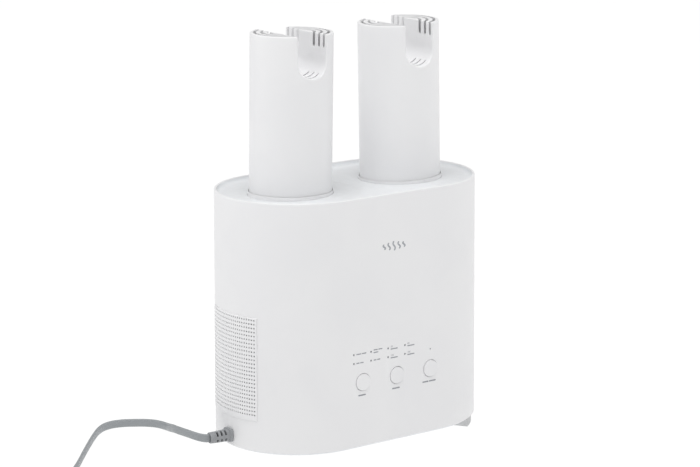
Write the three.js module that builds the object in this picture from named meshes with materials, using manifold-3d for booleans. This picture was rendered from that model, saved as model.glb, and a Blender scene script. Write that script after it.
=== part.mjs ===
// Boot dryer: a free-standing warm-air dryer with two telescopic air tubes.
//
// Millimetres, +Z up. The origin is on the surface that the dryer stands on, under the middle of
// its housing. The control panel faces -Y, and the air intake and the mains lead are at -X.

import * as THREE from 'three';
import { mergeVertices } from 'three/addons/utils/BufferGeometryUtils.js';
import Module from 'manifold-3d';

const wasm = await Module();
wasm.setup();

// ---------------------------------------------------------------- driving dimensions

const gap = 0.3;                  // between pieces that touch

const bodyLength = 250;           // housing along X, at its rim
const endRadius = 71.6;           // half the housing's depth, and the radius of its round ends
const shellBottom = 10;
const rimTop = 229;
const flare = 1.0;                // how much further out the housing's foot is than its rim
const shellWall = 2.4;
const endCentre = bodyLength / 2 - endRadius;

const trayTop = rimTop - 4.3;     // floor of the shallow tray under the tubes
const trayThickness = 3;

const tubeSpacing = 119.4;        // between the two tube centres, at the tray
const tubeHalf = { x: 37.2, y: 33.4 };
const tubeTop = 365;
const tubeBottom = 198;
const tubeWall = 2;
const tubeLean = THREE.MathUtils.degToRad(1);   // each tube leans towards the other
const channelHalfWidth = 14.7;    // U-shaped channel across the tube's top, along Y
const channelBottom = 328;
// Air slots round each prong's top, parallel to the tube's wall, and across the channel's floor.
const slots = { insets: [4.1, 10.25, 16.4], width: 2.5, foot: 353.5 };
const floorSlots = { rows: [-26.4, -19.3, -12.2, 12.2, 19.3, 26.4], width: 1.8, half: 10 };

const sleeveBottom = 82;
const collarTop = trayTop + 2.7;  // lip of the sleeve, standing proud of the tray
const neckBottom = 210;           // the tube's stop ring rests under this

const grille = { halfWidth: 32, bottom: 36.5, top: 128, proud: 1, border: 1.8, field: 30.8 };
const buttonRadius = 8.1;
const buttonHeight = 67;
const buttonPlaces = { mode: -35.4, timer: 1.4, power: 38.2 };
const buttonTravel = 1.5;
const lightColumns = [-45.3, -26.8, -8.3, 10.1];
const lightRows = [84.7, 92.6];
const powerLight = { x: 38.2, z: 84.7 };
const lightHoleRadius = 1.2;

const leadHeight = 19.1;          // height of the strain relief's axis
const fanCentre = -38;            // blower axis, along X
const footSpan = { from: 25, to: 56 };      // degrees round the end centre, from the X axis
const footRadii = { right: [52, 70], left: [25, 42] };
const footTop = 7.7;
const boardFront = -58;           // front face of the control board
const screwPlaces = [[70, 63], [70, -63], [-70, 63], [-70, -63]];

const cord = { height: 7.4, width: 3.8 };   // flat lead, lying on its edge
const coil = { x: -303, y: -72, inner: 30.6, outer: 45.4, bottom: 0.8, top: 15.4 };
const plug = { x: -235, y: -101, z: 7, heading: THREE.MathUtils.degToRad(12) };

// ---------------------------------------------------------------- solids and booleans

function solid(geometry) {
  geometry.deleteAttribute('normal');
  geometry.deleteAttribute('uv');
  const merged = mergeVertices(geometry, 1e-4);
  return new wasm.Manifold(new wasm.Mesh({
    numProp: 3,
    vertProperties: new Float32Array(merged.attributes.position.array),
    triVerts: new Uint32Array(merged.index.array),
  }));
}

function geometryOf(manifold) {
  const mesh = manifold.getMesh();
  const geometry = new THREE.BufferGeometry();
  geometry.setAttribute('position', new THREE.BufferAttribute(mesh.vertProperties, 3));
  geometry.setIndex(new THREE.BufferAttribute(mesh.triVerts, 1));
  geometry.computeVertexNormals();
  return geometry;
}

const join = (first, ...others) => others.reduce((sum, other) => sum.add(other), first);
const cut = (first, ...others) => others.reduce((rest, other) => rest.subtract(other), first);

// ---------------------------------------------------------------- basic shapes

// A rounded-end outline: two half circles about (+-endCentre, 0), joined by straight sides.
function stadium(radius) {
  const shape = new THREE.Shape();
  shape.absarc(endCentre, 0, radius, -Math.PI / 2, Math.PI / 2);
  shape.absarc(-endCentre, 0, radius, Math.PI / 2, Math.PI * 1.5);
  return shape;
}

function oval(halfX, halfY) {
  return new THREE.Shape().absellipse(0, 0, halfX, halfY, 0, Math.PI * 2);
}

function disc(radius) {
  return oval(radius, radius);
}

function prism(shape, bottom, top, curveSegments = 12) {
  const geometry = new THREE.ExtrudeGeometry(shape, {
    depth: top - bottom, bevelEnabled: false, curveSegments,
  });
  return geometry.translate(0, 0, bottom);
}

function block(low, high) {
  const size = high.map((value, axis) => value - low[axis]);
  const geometry = new THREE.BoxGeometry(...size);
  return geometry.translate(...low.map((value, axis) => value + size[axis] / 2));
}

function pillar(x, y, radius, bottom, top, curveSegments = 6) {
  return prism(disc(radius), bottom, top, curveSegments).translate(x, y, 0);
}

// A round pin along Y, from the y nearer the front to the y further back.
function pinAlongY(x, z, radius, front, back, curveSegments = 6) {
  const geometry = prism(disc(radius), 0, back - front, curveSegments).rotateX(-Math.PI / 2);
  return geometry.translate(x, front, z);
}

// How far the housing's skin stands out beyond the rim's outline at height z.
const flareAt = (z) => flare * (rimTop - z) / (rimTop - shellBottom);

// Moves each point of an upright housing part away from the line between the end centres.
function flared(geometry) {
  const place = geometry.attributes.position;
  for (let i = 0; i < place.count; i += 1) {
    const x = place.getX(i);
    const y = place.getY(i);
    const out = new THREE.Vector2(x - THREE.MathUtils.clamp(x, -endCentre, endCentre), y);
    out.setLength(out.length() + flareAt(place.getZ(i)));
    place.setX(i, THREE.MathUtils.clamp(x, -endCentre, endCentre) + out.x);
    place.setY(i, out.y);
  }
  return geometry;
}

const skinPrism = (radius, bottom, top) => solid(flared(prism(stadium(radius), bottom, top)));

const sides = { left: -1, right: 1 };

// Leans an upright tube part about the tray, where the two tube centres are tubeSpacing apart.
function leaned(geometry, side) {
  geometry.translate(0, 0, -trayTop).rotateY(-side * tubeLean);
  return geometry.translate(side * tubeSpacing / 2, 0, trayTop);
}

// ---------------------------------------------------------------- housing

function bodyShell() {
  const outer = skinPrism(endRadius, shellBottom, rimTop);
  const inner = skinPrism(endRadius - shellWall, shellBottom - 1, rimTop + 1);
  const window = solid(block(
    [-200, -grille.halfWidth + grille.border, grille.bottom + grille.border],
    [-100, grille.halfWidth - grille.border, grille.top - grille.border],
  ));
  const bosses = screwPlaces.map(([x, y]) => solid(pillar(x, y, 6, 16, 34)).intersect(outer));
  const pilots = screwPlaces.map(([x, y]) => solid(pillar(x, y, 1.8, 10, 32)));
  const buttonHoles = Object.values(buttonPlaces).map((x) => (
    solid(pinAlongY(x, buttonHeight, buttonRadius + 0.4, -90, -50, 14))));
  const lightHoles = lightPlaces().map(([x, z]) => (
    solid(pinAlongY(x, z, lightHoleRadius, -90, -50, 4))));
  const leadHole = solid(prism(disc(5), -140, -100, 8).rotateY(Math.PI / 2)
    .translate(0, 0, leadHeight));
  return cut(join(cut(outer, inner), ...bosses), ...pilots, window, leadHole,
    ...buttonHoles, ...lightHoles);
}

function lightPlaces() {
  const timer = lightColumns.flatMap((x) => lightRows.map((z) => [x, z]));
  return [...timer, [powerLight.x, powerLight.z]];
}

function topTray() {
  const edge = endRadius - shellWall - gap;
  const floor = solid(prism(stadium(edge), trayTop - trayThickness, trayTop));
  const skirtOuter = solid(prism(stadium(edge), trayTop - 14, trayTop - trayThickness));
  const skirtInner = solid(prism(stadium(edge - 2), trayTop - 15, trayTop - trayThickness));
  const holes = Object.values(sides).map((side) => (
    solid(leaned(prism(oval(tubeHalf.x + 1.8, tubeHalf.y + 1.8), 200, 240, 20), side))));
  return cut(join(floor, cut(skirtOuter, skirtInner)), ...holes);
}

function basePlate() {
  const edge = endRadius - shellWall - gap;
  const plate = skinPrism(edge, 8, 11);
  const rim = skinPrism(edge, 11, 12.2).subtract(skinPrism(edge - 2, 10, 13));
  const screwHoles = screwPlaces.map(([x, y]) => join(
    solid(pillar(x, y, 1.9, 7, 12)), solid(pillar(x, y, 3.7, 7, 10))));
  return cut(join(plate, rim), ...screwHoles);
}

// A pad that follows the housing's round end: an arc of a ring about the end centre.
function foot(side, row) {
  const [inner, outer] = side > 0 ? footRadii.right : footRadii.left;
  const angle = (degrees) => THREE.MathUtils.degToRad(degrees);
  const middle = angle((footSpan.from + footSpan.to) / 2);
  const half = angle((footSpan.to - footSpan.from) / 2);
  const shape = new THREE.Shape();
  shape.absarc(0, 0, outer, -half, half);
  shape.absarc(0, 0, inner, half, -half, true);
  shape.closePath();
  const turn = side > 0 ? row * middle : Math.PI - row * middle;
  return solid(prism(shape, 0, footTop, 4).rotateZ(turn).translate(side * endCentre, 0, 0));
}

function baseScrew(x, y) {
  return join(solid(pillar(x, y, 3.3, 8.4, 9.7)), solid(pillar(x, y, 1.4, 9.6, 30)));
}

// ---------------------------------------------------------------- air intake

function intakeGrille() {
  const { halfWidth, bottom, top, proud, border, field } = grille;
  const outside = skinPrism(endRadius + proud, bottom - 5, top + 5);
  const onSkin = skinPrism(endRadius + gap, bottom - 6, top + 6);
  const inside = skinPrism(endRadius - shellWall - 0.6, bottom - 6, top + 6);
  const face = solid(block([-200, -halfWidth, bottom], [-100, halfWidth, top]));
  const slack = border + gap;
  const plugIn = solid(block([-200, -halfWidth + slack, bottom + slack],
    [-100, halfWidth - slack, top - slack]));
  const panel = join(outside.intersect(face).subtract(onSkin),
    outside.intersect(plugIn).subtract(inside));
  const rows = 9;
  const pitch = (top - bottom - 2 * slack - 1.4) / rows;
  const openings = [];
  for (let row = 0; row < rows; row += 1) {
    const low = bottom + slack + 3 + row * pitch;
    for (const share of [-1, -1 / 3, 1 / 3]) {
      const left = share * field + 0.4;
      openings.push(solid(block([-200, left, low],
        [-100, left + field * 2 / 3 - 0.8, low + pitch * 0.62])));
    }
  }
  return cut(panel, ...openings);
}

function intakeFilter() {
  const outer = solid(prism(stadium(65.5), 45, 119));
  const inner = solid(prism(stadium(62.5), 44, 120));
  const face = solid(block([-200, -27, 40], [-100, 27, 125]));
  return outer.subtract(inner).intersect(face);
}

// ---------------------------------------------------------------- tubes and their sleeves

function airTube() {
  const { x: halfX, y: halfY } = tubeHalf;
  const outer = solid(prism(oval(halfX, halfY), tubeBottom, tubeTop, 16));
  const bore = solid(prism(oval(halfX - tubeWall, halfY - tubeWall), tubeBottom - 1,
    tubeTop - tubeWall, 16));
  const channel = channelPrism(channelHalfWidth, halfY + 5);
  const channelWall = channelPrism(channelHalfWidth + tubeWall, halfY + 5);
  const stop = solid(prism(oval(halfX + 1.2, halfY + 1.2), tubeBottom, tubeBottom + 3, 16));
  const shell = outer.subtract(bore.subtract(channelWall)).subtract(channel);
  const bored = stop.subtract(solid(prism(oval(halfX - tubeWall, halfY - tubeWall),
    tubeBottom - 1, tubeTop, 16)));
  return cut(join(shell, bored), ...slots.insets.map(ringSlot), ...floorSlots.rows.map(floorSlot));
}

// The U-shaped channel's section, carried along Y.
function channelPrism(halfWidth, reach) {
  const centre = channelBottom + channelHalfWidth;
  const shape = new THREE.Shape();
  shape.moveTo(halfWidth, tubeTop + 5);
  shape.lineTo(-halfWidth, tubeTop + 5);
  shape.absarc(0, centre, halfWidth, Math.PI, Math.PI * 2);
  shape.closePath();
  const geometry = new THREE.ExtrudeGeometry(shape, {
    depth: 2 * reach, bevelEnabled: false, curveSegments: 8,
  });
  return solid(geometry.rotateX(Math.PI / 2).translate(0, reach, 0));
}

// A slot through the top of both prongs, parallel to the wall, that runs down the channel's
// walls to the slots' foot.
function ringSlot(inset) {
  const ring = (grow, bottom) => solid(prism(
    oval(tubeHalf.x - inset + grow, tubeHalf.y - inset + grow), bottom, tubeTop + 1, 16));
  const half = slots.width / 2;
  const throughTop = ring(half, tubeTop - tubeWall - 0.5)
    .subtract(ring(-half, tubeTop - tubeWall - 1));
  const reach = channelHalfWidth + tubeWall + 0.5;
  const nearChannel = solid(block([-reach, -tubeHalf.y, slots.foot],
    [reach, tubeHalf.y, tubeTop + 1]));
  const downWalls = ring(half, slots.foot).subtract(ring(-half, slots.foot - 1));
  return throughTop.add(downWalls.intersect(nearChannel));
}

function floorSlot(y) {
  const half = floorSlots.width / 2;
  return solid(block([-floorSlots.half, y - half, channelBottom - tubeWall - 2],
    [floorSlots.half, y + half, channelBottom + 6]));
}

function frictionBand() {
  const { x, y } = tubeHalf;
  const outer = solid(prism(oval(x + 1.5, y + 1.5), tubeBottom + 3.3, neckBottom - 0.4, 16));
  const inner = solid(prism(oval(x + gap, y + gap), tubeBottom, neckBottom + 1, 16));
  return outer.subtract(inner);
}

function guideSleeve() {
  const { x, y } = tubeHalf;
  const bottom = sleeveBottom + (x + 3.6) * Math.sin(tubeLean);
  const sleeve = solid(prism(oval(x + 3.6, y + 3.6), bottom, neckBottom + 7, 16));
  const bore = solid(prism(oval(x + 2, y + 2), bottom - 1, neckBottom, 16));
  const flangeTop = trayTop - trayThickness - gap - (x + 5) * Math.sin(tubeLean);
  const flange = solid(prism(oval(x + 5, y + 5), neckBottom + 7, flangeTop, 16));
  const lip = solid(prism(oval(x + 1.4, y + 1.4), neckBottom, collarTop, 16));
  const neck = solid(prism(oval(x + 0.4, y + 0.4), bottom - 1, collarTop + 1, 16));
  return cut(join(sleeve, flange, lip), bore, neck);
}

// ---------------------------------------------------------------- air path inside

// A plenum under both sleeves, with a leg down to the heater duct.
function airManifold() {
  const bottom = 56;
  const top = sleeveBottom - gap;
  const wall = 2;
  const box = (inset, low, high) => solid(block(
    [-104 + inset, -38 + inset, low + inset], [104 - inset, 38 - inset, high - inset]));
  const leg = solid(block([66, -24, 15], [100, 24, bottom + 1]));
  const legBore = solid(block([64, -22, 17], [98, 22, bottom + wall + 1]));
  const ports = Object.values(sides).map((side) => solid(leaned(
    prism(oval(tubeHalf.x - 2, tubeHalf.y - 2), 60, 100, 20), side)));
  return cut(join(box(0, bottom, top), leg), box(wall, bottom, top), legBore, ...ports);
}

function blowerHousing() {
  const floor = 15;
  const top = 50;
  const scroll = (radius, low, high) => join(
    solid(pillar(fanCentre, 0, radius, low, high, 12)),
    solid(block([fanCentre, -radius + 2, low], [24, 12, high])));
  const eye = solid(pillar(fanCentre, 0, 24, 40, 60, 10));
  const motorSeat = solid(pillar(fanCentre, 0, 16, 10, 20, 8));
  const outlet = solid(block([20, -36, floor + 2], [30, 10, top - 2]));
  return cut(scroll(42, floor, top), scroll(40, floor + 2, top - 2), eye, motorSeat, outlet);
}

function blowerImpeller() {
  const bottom = 21;
  const top = 45;
  const backPlate = solid(pillar(fanCentre, 0, 34, bottom, bottom + 1.6, 12));
  const ring = cut(solid(pillar(fanCentre, 0, 34, top - 2, top, 12)),
    solid(pillar(fanCentre, 0, 26, top - 3, top + 1, 12)));
  const hub = solid(pillar(fanCentre, 0, 5, bottom, bottom + 14, 8));
  const blades = [];
  const bladeCount = 16;
  for (let i = 0; i < bladeCount; i += 1) {
    const blade = block([26.5, -0.7, bottom + 1], [33.4, 0.7, top - 1]);
    blade.rotateZ(i * 2 * Math.PI / bladeCount).translate(fanCentre, 0, 0);
    blades.push(solid(blade));
  }
  const shaftBore = solid(pillar(fanCentre, 0, 2, bottom - 1, bottom + 12, 8));
  return cut(join(backPlate, ring, hub, ...blades), shaftBore);
}

function blowerMotor() {
  return join(solid(pillar(fanCentre, 0, 15, 11.3, 20, 8)),
    solid(pillar(fanCentre, 0, 1.5, 19, 31, 8)));
}

function heaterDuct() {
  const outer = solid(block([24.3, -36, 15], [65.7, 12, 50]));
  const bore = solid(block([23, -34, 17], [67, 10, 48]));
  return outer.subtract(bore);
}

// A positive-temperature-coefficient heating block: finned bars across the duct.
function heatingElement() {
  const low = [36, -33.7, 18];
  const high = [54, 9.7, 47];
  const slots = [];
  const slotCount = 6;
  const pitch = (high[2] - low[2] - 1.5) / slotCount;
  for (let i = 0; i < slotCount; i += 1) {
    const z = low[2] + 1.5 + i * pitch;
    slots.push(solid(block([30, low[1] + 3, z], [60, high[1] - 3, z + pitch - 1.5])));
  }
  return cut(solid(block(low, high)), ...slots);
}

function thermalCutout() {
  return join(solid(block([38, -18, 50.3], [52, -6, 53.2])),
    solid(pillar(45, -12, 4.5, 53, 55.4, 6)));
}

// ---------------------------------------------------------------- controls

const skinFront = (z) => -(endRadius + flareAt(z));

function controlButton(x) {
  const face = skinFront(buttonHeight) + 0.1;
  const back = skinFront(buttonHeight) + shellWall + gap;
  return join(
    solid(pinAlongY(x, buttonHeight, buttonRadius, face, back + 0.5, 14)),
    solid(pinAlongY(x, buttonHeight, buttonRadius + 1.6, back, back + 1.4, 14)),
    solid(pinAlongY(x, buttonHeight, 2.5, back + 1, boardFront - 2 - buttonTravel - gap, 6)),
  );
}

function controlBoard() {
  const board = solid(block([-56, boardFront, 54], [52, boardFront + 1.6, 100]));
  const switches = Object.values(buttonPlaces).map((x) => solid(block(
    [x - 3, boardFront - 2, buttonHeight - 3], [x + 3, boardFront + 0.5, buttonHeight + 3])));
  const chip = solid(block([-20, boardFront + 1, 72], [-8, boardFront + 3.6, 84]));
  const socket = solid(block([30, boardFront + 1, 88], [46, boardFront + 8, 95]));
  return join(board, ...switches, chip, socket);
}

// Clear light pipes: pins in the panel's holes, joined by one bar behind the skin.
function lightPipe(places) {
  const barFront = skinFront(0) + shellWall + 1.4;
  const xs = places.map(([x]) => x);
  const zs = places.map(([, z]) => z);
  const bar = solid(block([Math.min(...xs) - 2, barFront, Math.min(...zs) - 2],
    [Math.max(...xs) + 2, barFront + 1.6, Math.max(...zs) + 2]));
  const pins = places.map(([x, z]) => solid(
    pinAlongY(x, z, lightHoleRadius - gap, skinFront(z) + 0.1, barFront + 0.5, 4)));
  return join(bar, ...pins);
}

function terminalBlock() {
  const body = solid(block([-104, -12, 11.3], [-92, 12, 24]));
  const wells = [-8, 0, 8].map((y) => solid(pillar(-98, y, 2, 18, 25, 6)));
  return cut(body, ...wells);
}

// ---------------------------------------------------------------- mains lead

// Rings of points carried along a path and closed at both ends.
// Each station is { centre, forward, radius }, and the rings have one more point than corners.
function swept(stations, corners) {
  const points = [];
  const index = [];
  const up = new THREE.Vector3(0, 0, 1);
  for (const { centre, forward, radius } of stations) {
    const across = new THREE.Vector3().crossVectors(up, forward).normalize();
    const over = new THREE.Vector3().crossVectors(forward, across);
    for (let i = 0; i < corners; i += 1) {
      const angle = i * 2 * Math.PI / corners;
      points.push(centre.clone().addScaledVector(across, radius * Math.cos(angle))
        .addScaledVector(over, radius * Math.sin(angle)));
    }
  }
  const last = stations.length - 1;
  for (let ring = 0; ring < last; ring += 1) {
    for (let i = 0; i < corners; i += 1) {
      const next = (i + 1) % corners;
      const a = ring * corners;
      const b = a + corners;
      index.push(a + i, a + next, b + i, b + i, a + next, b + next);
    }
  }
  points.push(stations[0].centre, stations[last].centre);
  for (let i = 0; i < corners; i += 1) {
    const next = (i + 1) % corners;
    index.push(points.length - 2, next, i);
    index.push(points.length - 1, last * corners + i, last * corners + next);
  }
  const geometry = new THREE.BufferGeometry().setFromPoints(points);
  geometry.setIndex(index);
  return geometry;
}

const relief = { straight: 5, bend: 120, length: 21 };

// The point and direction of the strain relief's axis, a distance s outside the housing.
// It runs straight out along -X, and then bends towards +Y.
function reliefAxis(s) {
  const start = -(bodyLength / 2 + flareAt(leadHeight));
  const angle = Math.max(0, s - relief.straight) / relief.bend;
  const along = Math.min(s, relief.straight) + relief.bend * Math.sin(angle);
  const aside = relief.bend * (1 - Math.cos(angle));
  return {
    centre: new THREE.Vector3(start - along, aside, leadHeight),
    forward: new THREE.Vector3(-Math.cos(angle), Math.sin(angle), 0),
  };
}

function strainRelief() {
  const profile = [[-6, 6.6], [-3.4, 6.6], [-3.3, 4.5], [gap, 4.5], [gap + 0.05, 6.2], [3, 6.2],
    [3.1, 5.5]];
  for (const s of [6, 10, 14, relief.length]) {
    profile.push([s, 5.5 - (s - 3) * 0.075]);
  }
  const stations = profile.map(([s, radius]) => ({ ...reliefAxis(s), radius }));
  return solid(swept(stations, 16));
}

// The lead from the strain relief to the coil: it drops to the ground in a slow curve.
const reliefEnd = reliefAxis(relief.length + 0.7).centre;
const leadRoute = [
  [reliefEnd.x, reliefEnd.y, reliefEnd.z], [-150.8, 2.4, 19.5], [-153.4, 4.8, 20.0],
  [-155.0, 8.6, 20.3], [-155.8, 13.5, 20.4], [-156.2, 19.7, 20.3], [-156.4, 26.8, 20.0],
  [-155.6, 36.5, 19.1], [-153.0, 47.5, 17.4], [-148.7, 59.0, 14.5], [-142.8, 70.6, 10.9],
  [-137.4, 81.5, 7.7], [-133.8, 91.8, 5.4], [-132.9, 101.3, 4.3], [-135.0, 109.3, 3.9],
  [-140.2, 116.0, 3.8], [-147.8, 121.7, 3.8], [-156.4, 126.4, 3.9], [-166.4, 128.7, 3.9],
  [-176.4, 126.6, 3.9], [-186.4, 119.8, 3.9], [-198.2, 108.0, 3.9], [-214.2, 90.0, 3.9],
  [-232.2, 69.0, 3.9], [-254.2, 43.0, 3.9], [-280.0, 15.3, 3.9], [-303.6, -9.9, 3.9],
  [-318.9, -26.2, 3.9],
];
const tailRoute = [
  [-273.9, -110.2, 11.3], [-263.0, -107.9, 10.6], [-252.0, -105.2, 9.0], [-243.0, -102.8, 7.6],
  [-235.6, -101.1, 7.0],
];

function flatLead(route, steps) {
  const section = new THREE.Shape().absellipse(0, 0, cord.height / 2, cord.width / 2,
    0, Math.PI * 2);
  const path = new THREE.CatmullRomCurve3(route.map((point) => new THREE.Vector3(...point)));
  return solid(new THREE.ExtrudeGeometry(section, {
    extrudePath: path, steps, bevelEnabled: false, curveSegments: 4,
  }));
}

function cordCoil() {
  const { inner, outer, bottom, top } = coil;
  const profile = [[inner, bottom], [outer, bottom], [outer, top], [inner, top], [inner, bottom]];
  const points = profile.map(([r, z]) => new THREE.Vector2(r, z));
  return solid(new THREE.LatheGeometry(points, 36).rotateX(Math.PI / 2)
    .translate(coil.x, coil.y, 0));
}

// A strap looped once round the coil, on the side away from the housing.
function cordTie() {
  const { inner, outer, bottom, top } = coil;
  const slack = 0.25;
  const strap = 0.5;
  const low = bottom - slack;
  const bar = solid(block([inner - 1.6, -4.5, low - strap], [outer + 1.6, 4.5, top + slack + strap]));
  const hole = solid(block([inner - 1.1, -6, low], [outer + 0.6, 6, top + slack]));
  return geometryOf(bar.subtract(hole)).rotateZ(THREE.MathUtils.degToRad(205))
    .translate(coil.x, coil.y, 0);
}

function placedAtPlug(geometry) {
  return geometry.rotateZ(plug.heading).translate(plug.x, plug.y, plug.z);
}

function plugBody() {
  const half = { width: 12, neck: 5.2, height: 6.9 };
  const shape = new THREE.Shape();
  shape.moveTo(0, -half.neck);
  shape.lineTo(8, -half.neck);
  shape.lineTo(17, -half.width);
  shape.lineTo(36, -half.width);
  shape.lineTo(36, half.width);
  shape.lineTo(17, half.width);
  shape.lineTo(8, half.neck);
  shape.lineTo(0, half.neck);
  shape.closePath();
  return solid(placedAtPlug(prism(shape, -half.height, half.height)));
}

function plugPin(side) {
  const pin = prism(disc(2), 0, 18.7, 5).rotateY(Math.PI / 2).translate(36.3, side * 9.3, 0);
  return solid(placedAtPlug(pin));
}

// ---------------------------------------------------------------- finishes and assembly

const finish = (color, roughness, metalness = 0) => (
  new THREE.MeshStandardMaterial({ color, roughness, metalness }));

const finishes = {
  white: finish('#e6e6e6', 0.42),
  panel: finish('#dfe1e3', 0.5),
  greyRubber: finish('#7d7f82', 0.75),
  lead: finish('#93979a', 0.6),
  dark: finish('#3a3c3f', 0.6),
  board: finish('#2f6b48', 0.55),
  steel: finish('#b9bcc0', 0.35, 1),
  aluminium: finish('#c6c9cc', 0.4, 1),
  felt: finish('#55585b', 0.95),
  clear: finish('#9fa2a6', 0.2),
};

const dryer = new THREE.Group();

function add(name, shape, material, parent = dryer) {
  const geometry = shape.isBufferGeometry ? shape : geometryOf(shape);
  const mesh = new THREE.Mesh(geometry, material);
  mesh.name = name;
  parent.add(mesh);
}

add('body_shell', bodyShell(), finishes.white);
add('top_tray', topTray(), finishes.panel);
add('base_plate', basePlate(), finishes.panel);
for (const [name, side] of Object.entries(sides)) {
  add(`foot_${name}_front`, foot(side, -1), finishes.greyRubber);
  add(`foot_${name}_rear`, foot(side, 1), finishes.greyRubber);
}
screwPlaces.forEach(([x, y], i) => add(`base_screw_${i + 1}`, baseScrew(x, y), finishes.steel));

add('intake_grille', intakeGrille(), finishes.white);
add('intake_filter', intakeFilter(), finishes.felt);

for (const [name, side] of Object.entries(sides)) {
  const group = new THREE.Group();
  group.position.set(side * tubeSpacing / 2, 0, trayTop);
  group.rotation.y = -side * tubeLean;
  const held = new THREE.Group();
  held.position.z = -trayTop;
  group.add(held);
  dryer.add(group);
  add(`tube_${name}`, airTube(), finishes.white, held);
  add(`friction_band_${name}`, frictionBand(), finishes.felt, held);
  add(`guide_sleeve_${name}`, guideSleeve(), finishes.panel, held);
}

add('air_manifold', airManifold(), finishes.dark);
add('blower_housing', blowerHousing(), finishes.dark);
add('blower_impeller', blowerImpeller(), finishes.dark);
add('blower_motor', blowerMotor(), finishes.steel);
add('heater_duct', heaterDuct(), finishes.aluminium);
add('heating_element', heatingElement(), finishes.aluminium);
add('thermal_cutout', thermalCutout(), finishes.steel);

add('control_board', controlBoard(), finishes.board);
for (const [name, x] of Object.entries(buttonPlaces)) {
  add(`button_${name}`, controlButton(x), finishes.white);
}
const places = lightPlaces();
add('light_pipe_timer', lightPipe(places.slice(0, -1)), finishes.clear);
add('light_pipe_power', lightPipe(places.slice(-1)), finishes.clear);
add('terminal_block', terminalBlock(), finishes.dark);

add('strain_relief', strainRelief(), finishes.greyRubber);
add('power_cord', flatLead(leadRoute, 46), finishes.lead);
add('cord_coil', cordCoil(), finishes.lead);
add('cord_tail', flatLead(tailRoute, 6), finishes.lead);
add('cord_tie', cordTie(), finishes.dark);
add('plug_body', plugBody(), finishes.lead);
add('plug_pin_1', plugPin(-1), finishes.steel);
add('plug_pin_2', plugPin(1), finishes.steel);

export default dryer;
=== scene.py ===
"""The looks of a boot dryer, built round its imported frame.

Piece sizes are in millimetres, as a maker's drawing gives them, and Surface.build turns them into
metres once. +Z is up, the control panel faces -Y, and the air intake and mains lead are at -X.
"""

import logging
import math
from dataclasses import dataclass
from enum import Enum
from typing import Callable, Optional, Sequence, Union

import bmesh
import bpy
import numpy as np
from mathutils import Matrix, Vector


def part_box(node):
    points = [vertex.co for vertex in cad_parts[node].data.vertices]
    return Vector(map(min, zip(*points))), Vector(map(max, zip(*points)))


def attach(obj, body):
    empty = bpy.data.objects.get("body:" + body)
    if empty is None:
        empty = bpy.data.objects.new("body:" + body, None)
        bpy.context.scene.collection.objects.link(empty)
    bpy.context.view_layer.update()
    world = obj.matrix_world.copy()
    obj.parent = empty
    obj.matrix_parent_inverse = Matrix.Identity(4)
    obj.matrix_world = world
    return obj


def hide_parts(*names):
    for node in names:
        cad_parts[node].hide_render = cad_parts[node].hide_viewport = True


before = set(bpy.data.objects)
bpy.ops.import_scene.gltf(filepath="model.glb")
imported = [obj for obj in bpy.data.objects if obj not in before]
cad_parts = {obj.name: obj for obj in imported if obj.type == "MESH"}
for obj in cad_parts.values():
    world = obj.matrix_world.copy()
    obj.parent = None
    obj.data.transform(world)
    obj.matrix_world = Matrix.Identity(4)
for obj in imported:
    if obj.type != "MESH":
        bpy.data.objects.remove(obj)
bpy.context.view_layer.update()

Array = np.ndarray
Piece = bpy.types.Object
Socket = bpy.types.NodeSocket
Place = tuple[float, float, float]
Numbers = tuple[float, ...]
SocketValue = Union[float, Sequence[float], Socket]

log = logging.getLogger("boot_dryer")

MM = 0.001
QUARTER = math.pi / 2
MERGE = 2e-6                     # metres: points closer than this are one point


# ------------------------------------------------------------------ surfaces

def link_object(name: str, data: bpy.types.ID) -> Piece:
    """Puts data into the scene as a new object at the origin.

    Args:
        name: The object's name.
        data: Its mesh, curve, camera or light.

    Returns:
        The object.
    """
    piece = bpy.data.objects.new(name, data)
    bpy.context.scene.collection.objects.link(piece)
    return piece


def shade(mesh: bpy.types.Mesh, sharp_degrees: float) -> None:
    """Shades a mesh smooth, with sharp edges where its faces meet at more than an angle.

    Args:
        mesh: The mesh to shade.
        sharp_degrees: The angle between two faces past which their edge is sharp.
    """
    mesh.polygons.foreach_set("use_smooth", np.ones(len(mesh.polygons), bool))
    mesh.set_sharp_from_angle(angle=math.radians(sharp_degrees))
    mesh.update()


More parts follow.
